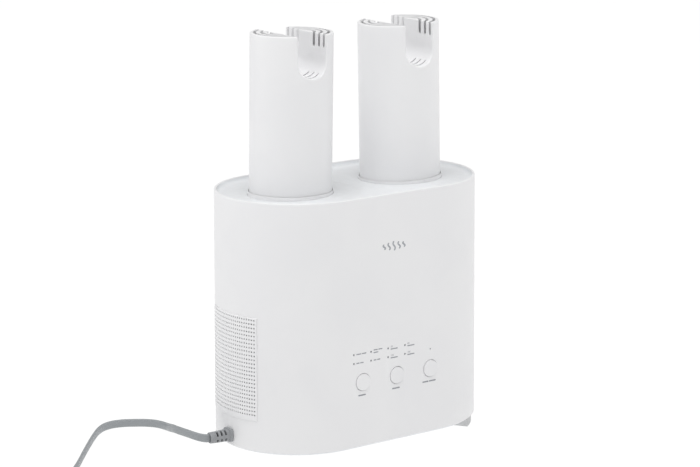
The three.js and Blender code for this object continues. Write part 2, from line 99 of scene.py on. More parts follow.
@dataclass
class Surface:
    """Quads before they are a mesh.

    points holds one row of x, y and z for each point, in millimetres. faces holds the numbers
    of each quad's four corners. fields holds a value at each point for each named attribute.
    """

    points: Array
    faces: Array
    fields: Optional[dict[str, Array]] = None

    @classmethod
    def grid(cls, points: Array, loop_rows: bool = False, loop_columns: bool = False,
             keep: Optional[Array] = None) -> "Surface":
        """Joins points laid out in rows and columns into quads.

        Quad (i, j) has the corners (i, j), (i, j+1), (i+1, j+1) and (i+1, j), and a looped
        direction goes on from its last row or column to its first.

        Args:
            points: An array of rows by columns by 3.
            loop_rows: Whether the last row joins the first.
            loop_columns: Whether the last column joins the first.
            keep: Which quads are kept, as an array of truth values, or None for all.

        Returns:
            The surface.
        """
        rows, columns = points.shape[:2]
        i, j = np.meshgrid(np.arange(rows - (not loop_rows)),
                           np.arange(columns - (not loop_columns)), indexing="ij")
        here, ahead = i * columns, (i + 1) % rows * columns
        beside = (j + 1) % columns
        faces = np.stack([here + j, here + beside, ahead + beside, ahead + j], axis=-1)
        if keep is not None:
            faces = faces[keep]
        return cls(points.reshape(-1, 3), faces.reshape(-1, 4))

    @classmethod
    def joined(cls, parts: Sequence["Surface"]) -> "Surface":
        """Gathers several surfaces into one.

        Args:
            parts: The surfaces, without fields.

        Returns:
            One surface with all their points and faces.
        """
        starts = np.cumsum([0] + [len(part.points) for part in parts[:-1]])
        return cls(np.concatenate([part.points for part in parts]),
                   np.concatenate([part.faces + start for part, start in zip(parts, starts)]))

    def placed(self, axes: Array, origin: Sequence[float] = (0, 0, 0)) -> "Surface":
        """Carries the surface into a frame.

        Args:
            axes: The frame's x, y and z directions, one in each row.
            origin: Where the frame's origin is.

        Returns:
            The surface with each point (x, y, z) at origin + x*X + y*Y + z*Z.
        """
        return Surface(self.points @ np.asarray(axes, float) + np.asarray(origin, float),
                       self.faces)

    def build(self, name: str, sharp_degrees: float = 35.0) -> Piece:
        """Makes the mesh object: seams and poles are merged, and faces point outwards.

        Args:
            name: The piece's name.
            sharp_degrees: The angle past which an edge is sharp.

        Returns:
            The object, at the origin, with its place in its mesh.
        """
        mesh = bpy.data.meshes.new(name)
        mesh.from_pydata((self.points * MM).tolist(), [], self.faces.tolist())
        for key, values in (self.fields or {}).items():
            layer = mesh.attributes.new(key, "FLOAT", "POINT")
            layer.data.foreach_set("value", np.ascontiguousarray(values, np.float32).ravel())
        shell = bmesh.new()
        shell.from_mesh(mesh)
        bmesh.ops.remove_doubles(shell, verts=shell.verts, dist=MERGE)
        bmesh.ops.recalc_face_normals(shell, faces=shell.faces)
        shell.to_mesh(mesh)
        shell.free()
        shade(mesh, sharp_degrees)
        return link_object(name, mesh)


def carry(mesh: bpy.types.Mesh, move: Callable[[Surface], Surface]) -> None:
    """Moves a mesh's points as a surface's are moved.

    Args:
        mesh: The mesh.
        move: What is done to the surface.
    """
    places = np.zeros(len(mesh.vertices) * 3)
    mesh.vertices.foreach_get("co", places)
    loose = Surface(places.reshape(-1, 3) / MM, np.zeros((0, 4), int))
    mesh.vertices.foreach_set("co", (move(loose).points * MM).ravel())
    mesh.update()


def softened(corners: Sequence[Sequence[float]], reach: Union[float, Sequence[float]],
             steps: int = 4) -> Array:
    """Rounds the corners of a closed flat outline.

    Corner C, with A and B on its two sides at the corner's reach from it, becomes the
    parabola (1-t)^2 A + 2t(1-t) C + t^2 B.

    Args:
        corners: The outline's corners in order.
        reach: How far from each corner its rounding starts, or one length for all.
        steps: How many points each corner becomes.

    Returns:
        The rounded outline, one point in each row.
    """
    corner = np.asarray(corners, float)
    length = np.broadcast_to(np.asarray(reach, float), len(corner))[:, None]
    sides = [np.roll(corner, 1, axis=0) - corner, np.roll(corner, -1, axis=0) - corner]
    ends = []
    for side in sides:
        size = np.linalg.norm(side, axis=1, keepdims=True)
        ends.append(corner + side / size * np.minimum(length, size * 0.49))
    t = np.linspace(0, 1, steps)[None, :, None]
    curve = ((1 - t) ** 2 * ends[0][:, None] + 2 * t * (1 - t) * corner[:, None]
             + t ** 2 * ends[1][:, None])
    return curve.reshape(-1, 2)


def divided(outline: Array, longest: float) -> Array:
    """Adds evenly spaced points along the long sides of a closed outline.

    Args:
        outline: The outline, one point in each row.
        longest: The longest side that is left whole.

    Returns:
        The outline with the added points.
    """
    ahead = np.roll(outline, -1, axis=0)
    parts = np.maximum(1, np.ceil(np.linalg.norm(ahead - outline, axis=1) / longest)).astype(int)
    which = np.repeat(np.arange(len(outline)), parts)
    share = (np.arange(len(which)) - np.repeat(np.cumsum(parts) - parts, parts)) / parts[which]
    return outline[which] + (ahead - outline)[which] * share[:, None]


def smooth_curve(points: Array, steps: int) -> Array:
    """A centripetal Catmull-Rom curve through points.

    Between P1 and P2, with knots spaced by the square root of the distances, the curve is the
    blend of the two parabola pieces through P0, P1, P2 and P1, P2, P3.

    Args:
        points: The points that it goes through, one in each row.
        steps: How many points it has between two of them.

    Returns:
        The curve's points.
    """
    before = 2 * points[:1] - points[1:2]
    after = 2 * points[-1:] - points[-2:-1]
    p = np.concatenate([before, points, after])
    gaps = np.sqrt(np.linalg.norm(np.diff(p, axis=0), axis=1))
    knots = np.concatenate([[0.0], np.cumsum(gaps)])
    k = [knots[i:len(knots) - 3 + i][:, None, None] for i in range(4)]
    q = [p[i:len(p) - 3 + i][:, None, :] for i in range(4)]
    share = np.linspace(0, 1, steps, endpoint=False)[None, :, None]
    t = k[1] + (k[2] - k[1]) * share

    def between(a: Array, b: Array, start: Array, end: Array) -> Array:
        """The straight blend of a and b as t goes from start to end."""
        return ((end - t) * a + (t - start) * b) / (end - start)

    first = [between(q[i], q[i + 1], k[i], k[i + 1]) for i in range(3)]
    second = [between(first[i], first[i + 1], k[i], k[i + 2]) for i in range(2)]
    curve = between(second[0], second[1], k[1], k[2])
    return np.concatenate([curve.reshape(-1, 3), points[-1:]])


def around(rail: tuple[Array, Array], profile: Array) -> Surface:
    """Carries a closed profile round a closed rail: point = foot + normal * d, at height z.

    Args:
        rail: The rail's feet and its outward unit normals, as x and y for each station.
        profile: The profile's distances d out from the foot and its heights z.

    Returns:
        A surface closed both ways, as a ring is.
    """
    foot, normal = rail
    flat = foot[:, None, :] + normal[:, None, :] * profile[None, :, :1]
    height = np.broadcast_to(profile[None, :, 1:], flat.shape[:2] + (1,))
    return Surface.grid(np.concatenate([flat, height], axis=2), True, True)


def turned(profile: Sequence[Sequence[float]], steps: int = 48) -> Surface:
    """Turns a profile about the z axis: point = (r cos a, r sin a, h).

    Args:
        profile: Radius r and height h of each point, starting and ending on the axis.
        steps: How many points go round.

    Returns:
        The closed surface, with a pole at each end.
    """
    radius, height = np.asarray(profile, float).T
    angle = np.linspace(0, 2 * np.pi, steps, endpoint=False)
    points = np.stack([np.outer(np.cos(angle), radius), np.outer(np.sin(angle), radius),
                       np.broadcast_to(height, (steps, len(height)))], axis=-1)
    return Surface.grid(points, loop_rows=True)


def swept(centre: Array, across: Array, over: Array, section: Array, size: Array) -> Surface:
    """Carries a closed section along a path.

    Point = centre + size * (u * across + v * over), for each (u, v) of the section, so that an
    end whose size is 0 closes in a pole.

    Args:
        centre: The path's points, one in each row.
        across: The direction of the section's u at each station.
        over: The direction of the section's v at each station.
        section: The section's outline, either one for all stations or one for each.
        size: The section's size at each station.

    Returns:
        The surface.
    """
    outline = np.broadcast_to(section, (len(centre),) + section.shape[-2:]) * size[:, None, None]
    points = (centre[:, None, :] + outline[..., :1] * across[:, None, :]
              + outline[..., 1:] * over[:, None, :])
    return Surface.grid(points, loop_columns=True)


def superellipse(half_u: float, half_v: float, power: float, steps: int) -> Array:
    """An outline between an ellipse and a box: |u/half_u|^power + |v/half_v|^power = 1.

    Args:
        half_u: Half the outline's width.
        half_v: Half the outline's height.
        power: 2 for an ellipse, and larger for squarer corners.
        steps: How many points it has.

    Returns:
        The outline, one point in each row.
    """
    angle = np.linspace(0, 2 * np.pi, steps, endpoint=False)
    cosine, sine = np.cos(angle), np.sin(angle)
    radius = (np.abs(cosine) ** power + np.abs(sine) ** power) ** (-1 / power)
    return np.stack([half_u * radius * cosine, half_v * radius * sine], axis=-1)


def bar(low: Sequence[float], high: Sequence[float], soft: float = 0.0,
        steps: int = 4) -> Surface:
    """A block with rounded upright edges: a rounded rectangle carried up, closed by poles.

    Args:
        low: The block's lowest corner.
        high: The block's highest corner.
        soft: How far from each upright edge its rounding starts.
        steps: How many points each rounded edge has.

    Returns:
        The closed surface.
    """
    (x0, y0, z0), (x1, y1, z1) = low, high
    outline = softened([(x0, y0), (x1, y0), (x1, y1), (x0, y1)], soft, steps if soft else 1)
    middle = outline.mean(axis=0)
    levels = [(0.0, z0), (1.0, z0), (1.0, z1), (0.0, z1)]
    points = np.stack([np.column_stack([middle + (outline - middle) * share,
                                        np.full(len(outline), z)]) for share, z in levels])
    return Surface.grid(points, loop_columns=True)


def cut_away(piece: Piece, cutters: Sequence[Surface], sharp_degrees: float = 35.0) -> None:
    """Cuts closed surfaces that don't overlap each other out of a piece, for good.

    Args:
        piece: The piece that is cut.
        cutters: The closed surfaces that are taken away.
        sharp_degrees: The angle past which an edge of the result is sharp.
    """
    tool = Surface.joined(list(cutters)).build(piece.name + "_cutter")
    modifier = piece.modifiers.new("cut", "BOOLEAN")
    modifier.operation = "DIFFERENCE"
    modifier.solver = "EXACT"
    modifier.object = tool
    settled = piece.evaluated_get(bpy.context.evaluated_depsgraph_get())
    result = bpy.data.meshes.new_from_object(settled)
    piece.modifiers.clear()
    piece.data = result
    bpy.data.objects.remove(tool)
    shade(result, sharp_degrees)


# ------------------------------------------------------------------ shader nodes

def linear(code: str, *factors: float) -> Numbers:
    """The scene colour of an sRGB hex code such as #e3e4e5.

    Args:
        code: The hex code.
        *factors: What red, green and blue are multiplied by: one number for all, or three.

    Returns:
        Red, green, blue and alpha, none of them over 1.
    """
    shades = np.array([int(code[i:i + 2], 16) for i in (1, 3, 5)]) / 255
    light = np.where(shades <= 0.04045, shades / 12.92, ((shades + 0.055) / 1.055) ** 2.4)
    return (*np.minimum(light * (factors or 1.0), 1.0).tolist(), 1.0)


@dataclass
class NodeBench:
    """Adds nodes to one node tree and wires them."""

    tree: bpy.types.NodeTree

    def add(self, kind: str, inputs: Optional[dict[Union[str, int], SocketValue]] = None,
            **settings: object) -> bpy.types.Node:
        """Adds a node.

        Args:
            kind: The node's type.
            inputs: What each input takes: a value, or the output socket that feeds it.
            **settings: The node's own settings.

        Returns:
            The node.
        """
        node = self.tree.nodes.new(kind)
        for key, value in settings.items():
            setattr(node, key, value)
        for key, value in (inputs or {}).items():
            if isinstance(value, Socket):
                self.tree.links.new(value, node.inputs[key])
            else:
                node.inputs[key].default_value = value
        return node

    def math(self, operation: str, *values: SocketValue) -> Socket:
        """The result of a Math node."""
        node = self.add("ShaderNodeMath", dict(enumerate(values)), operation=operation)
        return node.outputs[0]

    def stretch(self, value: SocketValue, low: float, high: float) -> Socket:
        """A value carried from low..high to 0..1 in a smooth step."""
        node = self.add("ShaderNodeMapRange", {"Value": value, "From Min": low,
                                               "From Max": high},
                        interpolation_type="SMOOTHSTEP")
        return node.outputs["Result"]

    def noise(self, place: Socket, scale: SocketValue, detail: float,
              distortion: float = 0.0) -> Socket:
        """The value of a Noise Texture node."""
        node = self.add("ShaderNodeTexNoise", {"Vector": place, "Scale": scale,
                                               "Detail": detail, "Distortion": distortion})
        return node.outputs[0]

    def blend(self, share: SocketValue, first: SocketValue, second: SocketValue) -> Socket:
        """A colour between two, by share."""
        node = self.add("ShaderNodeMix", {0: share, 6: first, 7: second}, data_type="RGBA")
        return node.outputs[2]


Maker = Callable[[NodeBench, Socket, Socket], Socket]


class Effect(Enum):
    """Surface effects that several finishes share, each a node group."""

    GRAIN = "moulding_grain"
    SMUDGE = "handling_smudges"
    DUST = "settled_dust"
    WEAR = "edge_wear"


class EffectShelf:
    """Builds each shared node group the first time that a finish asks for it."""

    def __init__(self) -> None:
        """Starts with an empty shelf."""
        self._groups: dict[Effect, bpy.types.NodeTree] = {}
        self._makers: dict[Effect, tuple[Maker, str, str]] = {
            Effect.GRAIN: (self._grain, "Scale", "Height"),
            Effect.SMUDGE: (self._smudge, "Scale", "Mask"),
            Effect.DUST: (self._dust, "Amount", "Mask"),
            Effect.WEAR: (self._wear, "Amount", "Mask")}

    def take(self, effect: Effect) -> bpy.types.NodeTree:
        """The node group of an effect, with the inputs Vector and one number.

        Args:
            effect: The effect.

        Returns:
            Its node group.
        """
        if effect not in self._groups:
            maker, number, gives = self._makers[effect]
            tree = bpy.data.node_groups.new(effect.value, "ShaderNodeTree")
            tree.interface.new_socket("Vector", in_out="INPUT", socket_type="NodeSocketVector")
            tree.interface.new_socket(number, in_out="INPUT", socket_type="NodeSocketFloat")
            tree.interface.new_socket(gives, in_out="OUTPUT", socket_type="NodeSocketFloat")
            bench = NodeBench(tree)
            taken = bench.add("NodeGroupInput").outputs
            bench.add("NodeGroupOutput",
                      {gives: maker(bench, taken["Vector"], taken[number])})
            self._groups[effect] = tree
        return self._groups[effect]

    @staticmethod
    def _grain(bench: NodeBench, place: Socket, scale: Socket) -> Socket:
        """Fine spark-eroded grain: soft noise with the rims of small cells over it."""
        cells = bench.add("ShaderNodeTexVoronoi", {
            "Vector": place, "Scale": bench.math("MULTIPLY", scale, 1.7)})
        return bench.math("ADD", bench.math("MULTIPLY", bench.noise(place, scale, 3.0), 0.6),
                          bench.math("MULTIPLY", cells.outputs["Distance"], 0.4))

    @staticmethod
    def _smudge(bench: NodeBench, place: Socket, scale: Socket) -> Socket:
        """Broad uneven patches, as hands and mould flow leave on plastic."""
        return bench.stretch(bench.noise(place, scale, 4.0, 0.6), 0.38, 0.68)

    @staticmethod
    def _dust(bench: NodeBench, place: Socket, amount: Socket) -> Socket:
        """Dust where the surface faces up, in patches."""
        facing = bench.add("ShaderNodeSeparateXYZ", {
            "Vector": bench.add("ShaderNodeNewGeometry").outputs["Normal"]})
        upward = bench.stretch(facing.outputs["Z"], 0.35, 1.0)
        spread = bench.stretch(bench.noise(place, 160.0, 5.0), 0.35, 0.7)
        return bench.math("MULTIPLY", bench.math("MULTIPLY", upward, spread), amount)

    @staticmethod
    def _wear(bench: NodeBench, place: Socket, amount: Socket) -> Socket:
        """Rubbed edges: where the surface is sharply convex, broken up by noise."""
        convex = bench.stretch(bench.add("ShaderNodeNewGeometry").outputs["Pointiness"],
                               0.52, 0.62)
        breaks = bench.stretch(bench.noise(place, 400.0, 3.0), 0.3, 0.6)
        return bench.math("MULTIPLY", bench.math("MULTIPLY", convex, breaks), amount)


@dataclass
class Coat:
    """One material while it is being mixed: its bench, its shader and its coordinates."""

    bench: NodeBench
    shader: bpy.types.Node
    place: Socket
    shelf: EffectShelf

    def mask(self, effect: Effect, **values: float) -> Socket:
        """The output of a shared effect.

        Args:
            effect: The effect.
            **values: Its number inputs, by their names in small letters.

        Returns:
            The output socket.
        """
        inputs = {"Vector": self.place, **{key.capitalize(): value
                                           for key, value in values.items()}}
        return self.bench.add("ShaderNodeGroup", inputs,
                              node_tree=self.shelf.take(effect)).outputs[0]

    def attribute(self, name: str) -> Socket:
        """The value of one of the piece's own attributes."""
        return self.bench.add("ShaderNodeAttribute", attribute_name=name).outputs["Fac"]

    def fix(self, socket: str, value: float) -> None:
        """Sets one of the shader's sockets."""
        self.shader.inputs[socket].default_value = value

    def feed(self, socket: str, value: Socket) -> None:
        """Feeds one of the shader's sockets."""
        self.bench.tree.links.new(value, self.shader.inputs[socket])

    def bump(self, height: Socket, depth: float) -> None:
        """Raises the surface by height, where depth in millimetres is a height of 1."""
        node = self.bench.add("ShaderNodeBump", {"Strength": 1.0, "Distance": depth * MM,
                                                 "Height": height})
        self.feed("Normal", node.outputs["Normal"])

    def rough_between(self, mask: Socket, low: float, high: float) -> None:
        """Spreads the roughness from low to high by a mask."""
        node = self.bench.add("ShaderNodeMapRange", {"Value": mask, "To Min": low,
                                                     "To Max": high})
        self.feed("Roughness", node.outputs["Result"])


@dataclass(frozen=True)
class Recipe:
    """How a finish is mixed: its material's name and colour, and its own wiring."""

    name: str
    colour: str

    def build(self, shelf: EffectShelf) -> bpy.types.Material:
        """Makes the material, with one Principled shader and Object coordinates.

        Args:
            shelf: Where the shared effects are.

        Returns:
            The material.
        """
        material = bpy.data.materials.new(self.name)
        material.use_nodes = True
        material.node_tree.nodes.clear()
        bench = NodeBench(material.node_tree)
        shader = bench.add("ShaderNodeBsdfPrincipled")
        bench.add("ShaderNodeOutputMaterial", {"Surface": shader.outputs[0]})
        place = bench.add("ShaderNodeTexCoord").outputs["Object"]
        self.mix(Coat(bench, shader, place, shelf))
        return material

    def mix(self, coat: Coat) -> None:
        """Wires the coat, as each kind of finish does in its own way.

        Args:
            coat: The coat that is wired.
        """
        raise NotImplementedError


@dataclass(frozen=True)
class MouldedPlastic(Recipe):
    """Grained injection-moulded plastic, with faint mould flow, dust and rubbed edges."""

    roughness: float = 0.42
    grain: float = 1500.0
    depth: float = 0.012
    dust: float = 0.06
    flow: float = 0.03

    def mix(self, coat: Coat) -> None:
        """Mottles the colour, and grains the surface.

        Args:
            coat: The coat that is wired.
        """
        deeper = linear(self.colour, 1 - self.flow, 1 - self.flow, 1 - self.flow * 0.8)
        colour = coat.bench.blend(coat.mask(Effect.SMUDGE, scale=14.0),
                                  linear(self.colour), deeper)
        colour = coat.bench.blend(coat.mask(Effect.DUST, amount=self.dust), colour,
                                  linear("#b9b4aa"))
        colour = coat.bench.blend(coat.mask(Effect.WEAR, amount=0.25), colour,
                                  linear(self.colour, 1.12))
        coat.feed("Base Color", colour)
        coat.rough_between(coat.mask(Effect.SMUDGE, scale=55.0), self.roughness * 0.9,
                           self.roughness * 1.15)
        coat.bump(coat.mask(Effect.GRAIN, scale=self.grain), self.depth)


@dataclass(frozen=True)
class SoftRubber(Recipe):
    """Matt moulded rubber with a dusty bloom, and painted shade where the attribute sunk is high.
    """

    roughness: float = 0.72
    bloom: float = 0.25

    def mix(self, coat: Coat) -> None:
        """Clouds the colour, pales the edges and paints shade into what is sunk.

        Args:
            coat: The coat that is wired.
        """
        paler = tuple(min(part + 0.02, 1.0) for part in linear(self.colour, 1.3))
        cloudy = coat.bench.math("MULTIPLY", coat.mask(Effect.SMUDGE, scale=90.0), self.bloom)
        colour = coat.bench.blend(cloudy, linear(self.colour), paler)
        colour = coat.bench.blend(coat.mask(Effect.WEAR, amount=0.5), colour, paler)
        # painted shade: the sunk slots are darkened to near black, standing in for the shadow
        # inside them
        colour = coat.bench.blend(coat.attribute("sunk"), colour, linear(self.colour, 0.12))
        coat.feed("Base Color", colour)
        coat.rough_between(coat.mask(Effect.SMUDGE, scale=240.0), self.roughness * 0.9,
                           self.roughness * 1.1)
        coat.bump(coat.mask(Effect.GRAIN, scale=2600.0), 0.02)


@dataclass(frozen=True)
class LeadJacket(Recipe):
    """Extruded cord jacket: fine lines along it, read from the cord's own attributes."""

    def mix(self, coat: Coat) -> None:
        """Draws the lines, in colour and in height.

        Args:
            coat: The coat that is wired.
        """
        drawn = coat.bench.add("ShaderNodeCombineXYZ", {
            "X": coat.bench.math("MULTIPLY", coat.attribute("ring"), 26.0),
            "Y": coat.bench.math("MULTIPLY", coat.attribute("along"), 9.0)})
        lines = coat.bench.noise(drawn.outputs[0], 1.0, 2.0)
        colour = coat.bench.blend(coat.bench.stretch(lines, 0.35, 0.7),
                                  linear(self.colour, 0.93), linear(self.colour, 1.05))
        colour = coat.bench.blend(coat.mask(Effect.DUST, amount=0.12), colour,
                                  linear("#b9b7b2"))
        coat.feed("Base Color", colour)
        coat.rough_between(coat.mask(Effect.SMUDGE, scale=70.0), 0.42, 0.55)
        coat.bump(lines, 0.05)


@dataclass(frozen=True)
class BareMetal(Recipe):
    """Machined or rolled metal with fine scratches across one direction."""

    roughness: float = 0.32
    stretch: Place = (3000.0, 200.0, 3000.0)

    def mix(self, coat: Coat) -> None:
        """Stains the colour, and scratches the shine.

        Args:
            coat: The coat that is wired.
        """
        drawn = coat.bench.add("ShaderNodeMapping", {"Vector": coat.place,
                                                     "Scale": self.stretch})
        lines = coat.bench.noise(drawn.outputs[0], 1.0, 2.0)
        coat.fix("Metallic", 1.0)
        coat.feed("Base Color", coat.bench.blend(coat.mask(Effect.SMUDGE, scale=120.0),
                                                 linear(self.colour),
                                                 linear(self.colour, 0.86, 0.85, 0.83)))
        coat.rough_between(lines, self.roughness * 0.7, self.roughness * 1.4)
        coat.bump(lines, 0.01)


@dataclass(frozen=True)
class PressedFelt(Recipe):
    """Pressed fibre: tangled short strands, with no shine."""

    def mix(self, coat: Coat) -> None:
        """Draws the strands, in colour and in height.

        Args:
            coat: The coat that is wired.
        """
        strands = coat.bench.noise(coat.place, 900.0, 6.0, 2.5)
        coat.feed("Base Color", coat.bench.blend(coat.bench.stretch(strands, 0.3, 0.7),
                                                 linear(self.colour, 0.7),
                                                 linear(self.colour, 1.25)))
        coat.fix("Roughness", 0.95)
        coat.bump(strands, 0.25)


@dataclass(frozen=True)
class CircuitLaminate(Recipe):
    """Green solder mask with copper tracks showing faintly through it."""

    def mix(self, coat: Coat) -> None:
        """Lays the tracks, in colour and in height.

        Args:
            coat: The coat that is wired.
        """
        tracks = coat.bench.add("ShaderNodeTexBrick", {
            "Vector": coat.place, "Scale": 180.0, "Mortar Size": 0.03}).outputs["Fac"]
        coat.feed("Base Color", coat.bench.blend(tracks, linear(self.colour),
                                                 linear(self.colour, 1.9, 1.5, 1.3)))
        coat.rough_between(coat.mask(Effect.SMUDGE, scale=80.0), 0.3, 0.45)
        coat.bump(tracks, 0.03)


@dataclass(frozen=True)
class PrintedInk(Recipe):
    """Pad-printed ink: a thin matt film, a little uneven in density."""

    def mix(self, coat: Coat) -> None:
        """Varies the film's density.

        Args:
            coat: The coat that is wired.
        """
        density = coat.mask(Effect.SMUDGE, scale=1300.0)
        coat.feed("Base Color", coat.bench.blend(density, linear(self.colour),
                                                 linear(self.colour, 1.2)))
        coat.rough_between(density, 0.5, 0.62)


class Finish(Enum):
    """The dryer's finishes."""

    SHELL = MouldedPlastic("satin_white", "#f1f1f2", flow=0.02)
    TRAY = MouldedPlastic("tray_white", "#eceef0", flow=0.01, roughness=0.34, depth=0.006)
    BUTTON = MouldedPlastic("button_white", "#f1f1f2", roughness=0.36, depth=0.008)
    DARK = MouldedPlastic("duct_plastic", "#3a3c3f", roughness=0.55, dust=0.3)
    PIPE = MouldedPlastic("light_pipe_grey", "#8f9296", roughness=0.2, depth=0.002, dust=0.0)
    PLUG = MouldedPlastic("plug_grey", "#8f9396", roughness=0.5, grain=1100.0, depth=0.03)
    TIE = MouldedPlastic("tie_black", "#26272a", roughness=0.5, depth=0.02)
    FOOT = SoftRubber("foot_rubber", "#c9cacb")
    RELIEF = SoftRubber("relief_rubber", "#97999c", roughness=0.6)
    LEAD = LeadJacket("lead_jacket", "#9b9fa2")
    STEEL = BareMetal("bright_steel", "#c2c4c6")
    ALUMINIUM = BareMetal("folded_aluminium", "#c9cbcd", roughness=0.4)
    FELT = PressedFelt("pressed_felt", "#55585b")
    BOARD = CircuitLaminate("circuit_laminate", "#2f6b48")
    INK = PrintedInk("grey_ink", "#94979c")
    INK_PALE = PrintedInk("pale_grey_ink", "#a2a5aa")


class Dresser:
    """Gives pieces their finish, their body and their place in the record."""

    def __init__(self) -> None:
        """Starts with no material mixed."""
        self._shelf = EffectShelf()
        self._mixed: dict[Finish, bpy.types.Material] = {}

    def material(self, finish: Finish) -> bpy.types.Material:
        """The material of a finish, mixed once."""
        if finish not in self._mixed:
            self._mixed[finish] = finish.value.build(self._shelf)
        return self._mixed[finish]

    def dress(self, piece: Piece, finish: Finish, body: str = "root",
              replaces: Sequence[str] = ()) -> Piece:
        """Finishes a piece and puts it on its body.

        Args:
            piece: The piece, in place.
            finish: Its finish.
            body: The moving body that it rides on.
            replaces: The frame's nodes that it stands for.

        Returns:
            The piece.
        """
        piece.data.materials.clear()
        piece.data.materials.append(self.material(finish))
        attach(piece, body)
        if replaces:
            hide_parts(*replaces)
        log.info("%-22s %6d faces on %s", piece.name, len(piece.data.polygons), body)
        return piece

    def repaint(self, finish: Finish, *nodes: str) -> None:
        """Gives a finish to frame nodes that stay as they are.

        Args:
            finish: The finish.
            *nodes: The nodes' names.
        """
        for name in nodes:
            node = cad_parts[name]
            if not node.data.materials:
                node.data.materials.append(None)
            for slot in node.material_slots:
                slot.material = self.material(finish)
            log.info("%-22s keeps its frame mesh", name)


# ------------------------------------------------------------------ camera, light and floor

@dataclass(frozen=True)
class Studio:
    """The camera, a white room, three soft lights and a pale lit floor, in metres.

    Each of softboxes is a place, a width and a power in watts.
    """

    azimuth: float = -36.49
    elevation: float = 12.75
    roll: float = -0.12
    distance: float = 2.311
    lens: float = 134.68
    aim_height: float = 0.1805
    aim_right: float = 0.0034
    room_light: float = 0.46
    floor_reach: float = 30.0
    floor_glow: float = 0.95
    softboxes: tuple[tuple[Place, float, float], ...] = (
        ((-0.5, -0.5, 2.6), 2.0, 40.0), ((-1.9, 1.2, 0.9), 1.6, 6.5),
        ((2.1, -0.3, 0.8), 1.4, 5.0))

    def build(self) -> None:
        """Makes the camera, the lights and the floor."""
        self.camera()
        self.room()
        for place, size, power in self.softboxes:
            self.softbox(Vector(place), size, power)
        self.floor()

    def camera(self) -> None:
        """Looks at the dryer from its left front, a little above."""
        turn, rise, roll = (math.radians(angle) for angle in
                            (self.azimuth, self.elevation, self.roll))
        right = Vector((math.cos(turn), math.sin(turn), 0))
        back = Vector((math.sin(turn) * math.cos(rise), -math.cos(turn) * math.cos(rise),
                       math.sin(rise)))
        up = back.cross(right)
        level = right * math.cos(roll) + up * math.sin(roll)
        plumb = up * math.cos(roll) - right * math.sin(roll)
        place = right * self.aim_right + Vector((0, 0, self.aim_height)) + back * self.distance
        data = bpy.data.cameras.new("camera")
        data.lens = self.lens
        data.sensor_width = 36.0
        data.clip_end = 100.0
        camera = link_object("camera", data)
        camera.matrix_world = (Matrix.Translation(place)
                               @ Matrix((level, plumb, back)).transposed().to_4x4())
        bpy.context.scene.camera = camera

    def room(self) -> None:
        """Lights everything from a plain white room."""
        world = bpy.data.worlds.new("white_room")
        world.use_nodes = True
        background = world.node_tree.nodes["Background"]
        background.inputs["Color"].default_value = (1.0, 1.0, 1.0, 1.0)
        background.inputs["Strength"].default_value = self.room_light
        bpy.context.scene.world = world
        bpy.context.scene.view_settings.view_transform = "Standard"

    @staticmethod
    def softbox(place: Vector, size: float, power: float) -> None:
        """Hangs a square soft light, turned towards the dryer.

        Args:
            place: Where it hangs.
            size: The length of its sides, in metres.
            power: Its power in watts.
        """
        light = bpy.data.lights.new("softbox", "AREA")
        light.size = size
        light.energy = power
        lamp = link_object("softbox", light)
        lamp.location = place
        lamp.rotation_euler = (place - Vector((0, 0, 0.25))).to_track_quat("Z", "Y").to_euler()

    def floor(self) -> None:
        """Lays a wide pale floor that glows a little, as a lit table does."""
        reach = self.floor_reach
        mesh = bpy.data.meshes.new("floor")
        mesh.from_pydata([(-reach, -reach, 0), (reach, -reach, 0), (reach, reach, 0),
                          (-reach, reach, 0)], [], [(0, 1, 2, 3)])
        piece = link_object("floor", mesh)
        material = bpy.data.materials.new("floor_white")
        material.use_nodes = True
        shader = material.node_tree.nodes["Principled BSDF"]
        for socket, value in (("Base Color", (0.1, 0.1, 0.1, 1)), ("Roughness", 0.9),
                              ("Specular IOR Level", 0.0), ("Emission Color", (1, 1, 1, 1)),
                              ("Emission Strength", self.floor_glow)):
            shader.inputs[socket].default_value = value
        mesh.materials.append(material)


# ------------------------------------------------------------------ mains lead

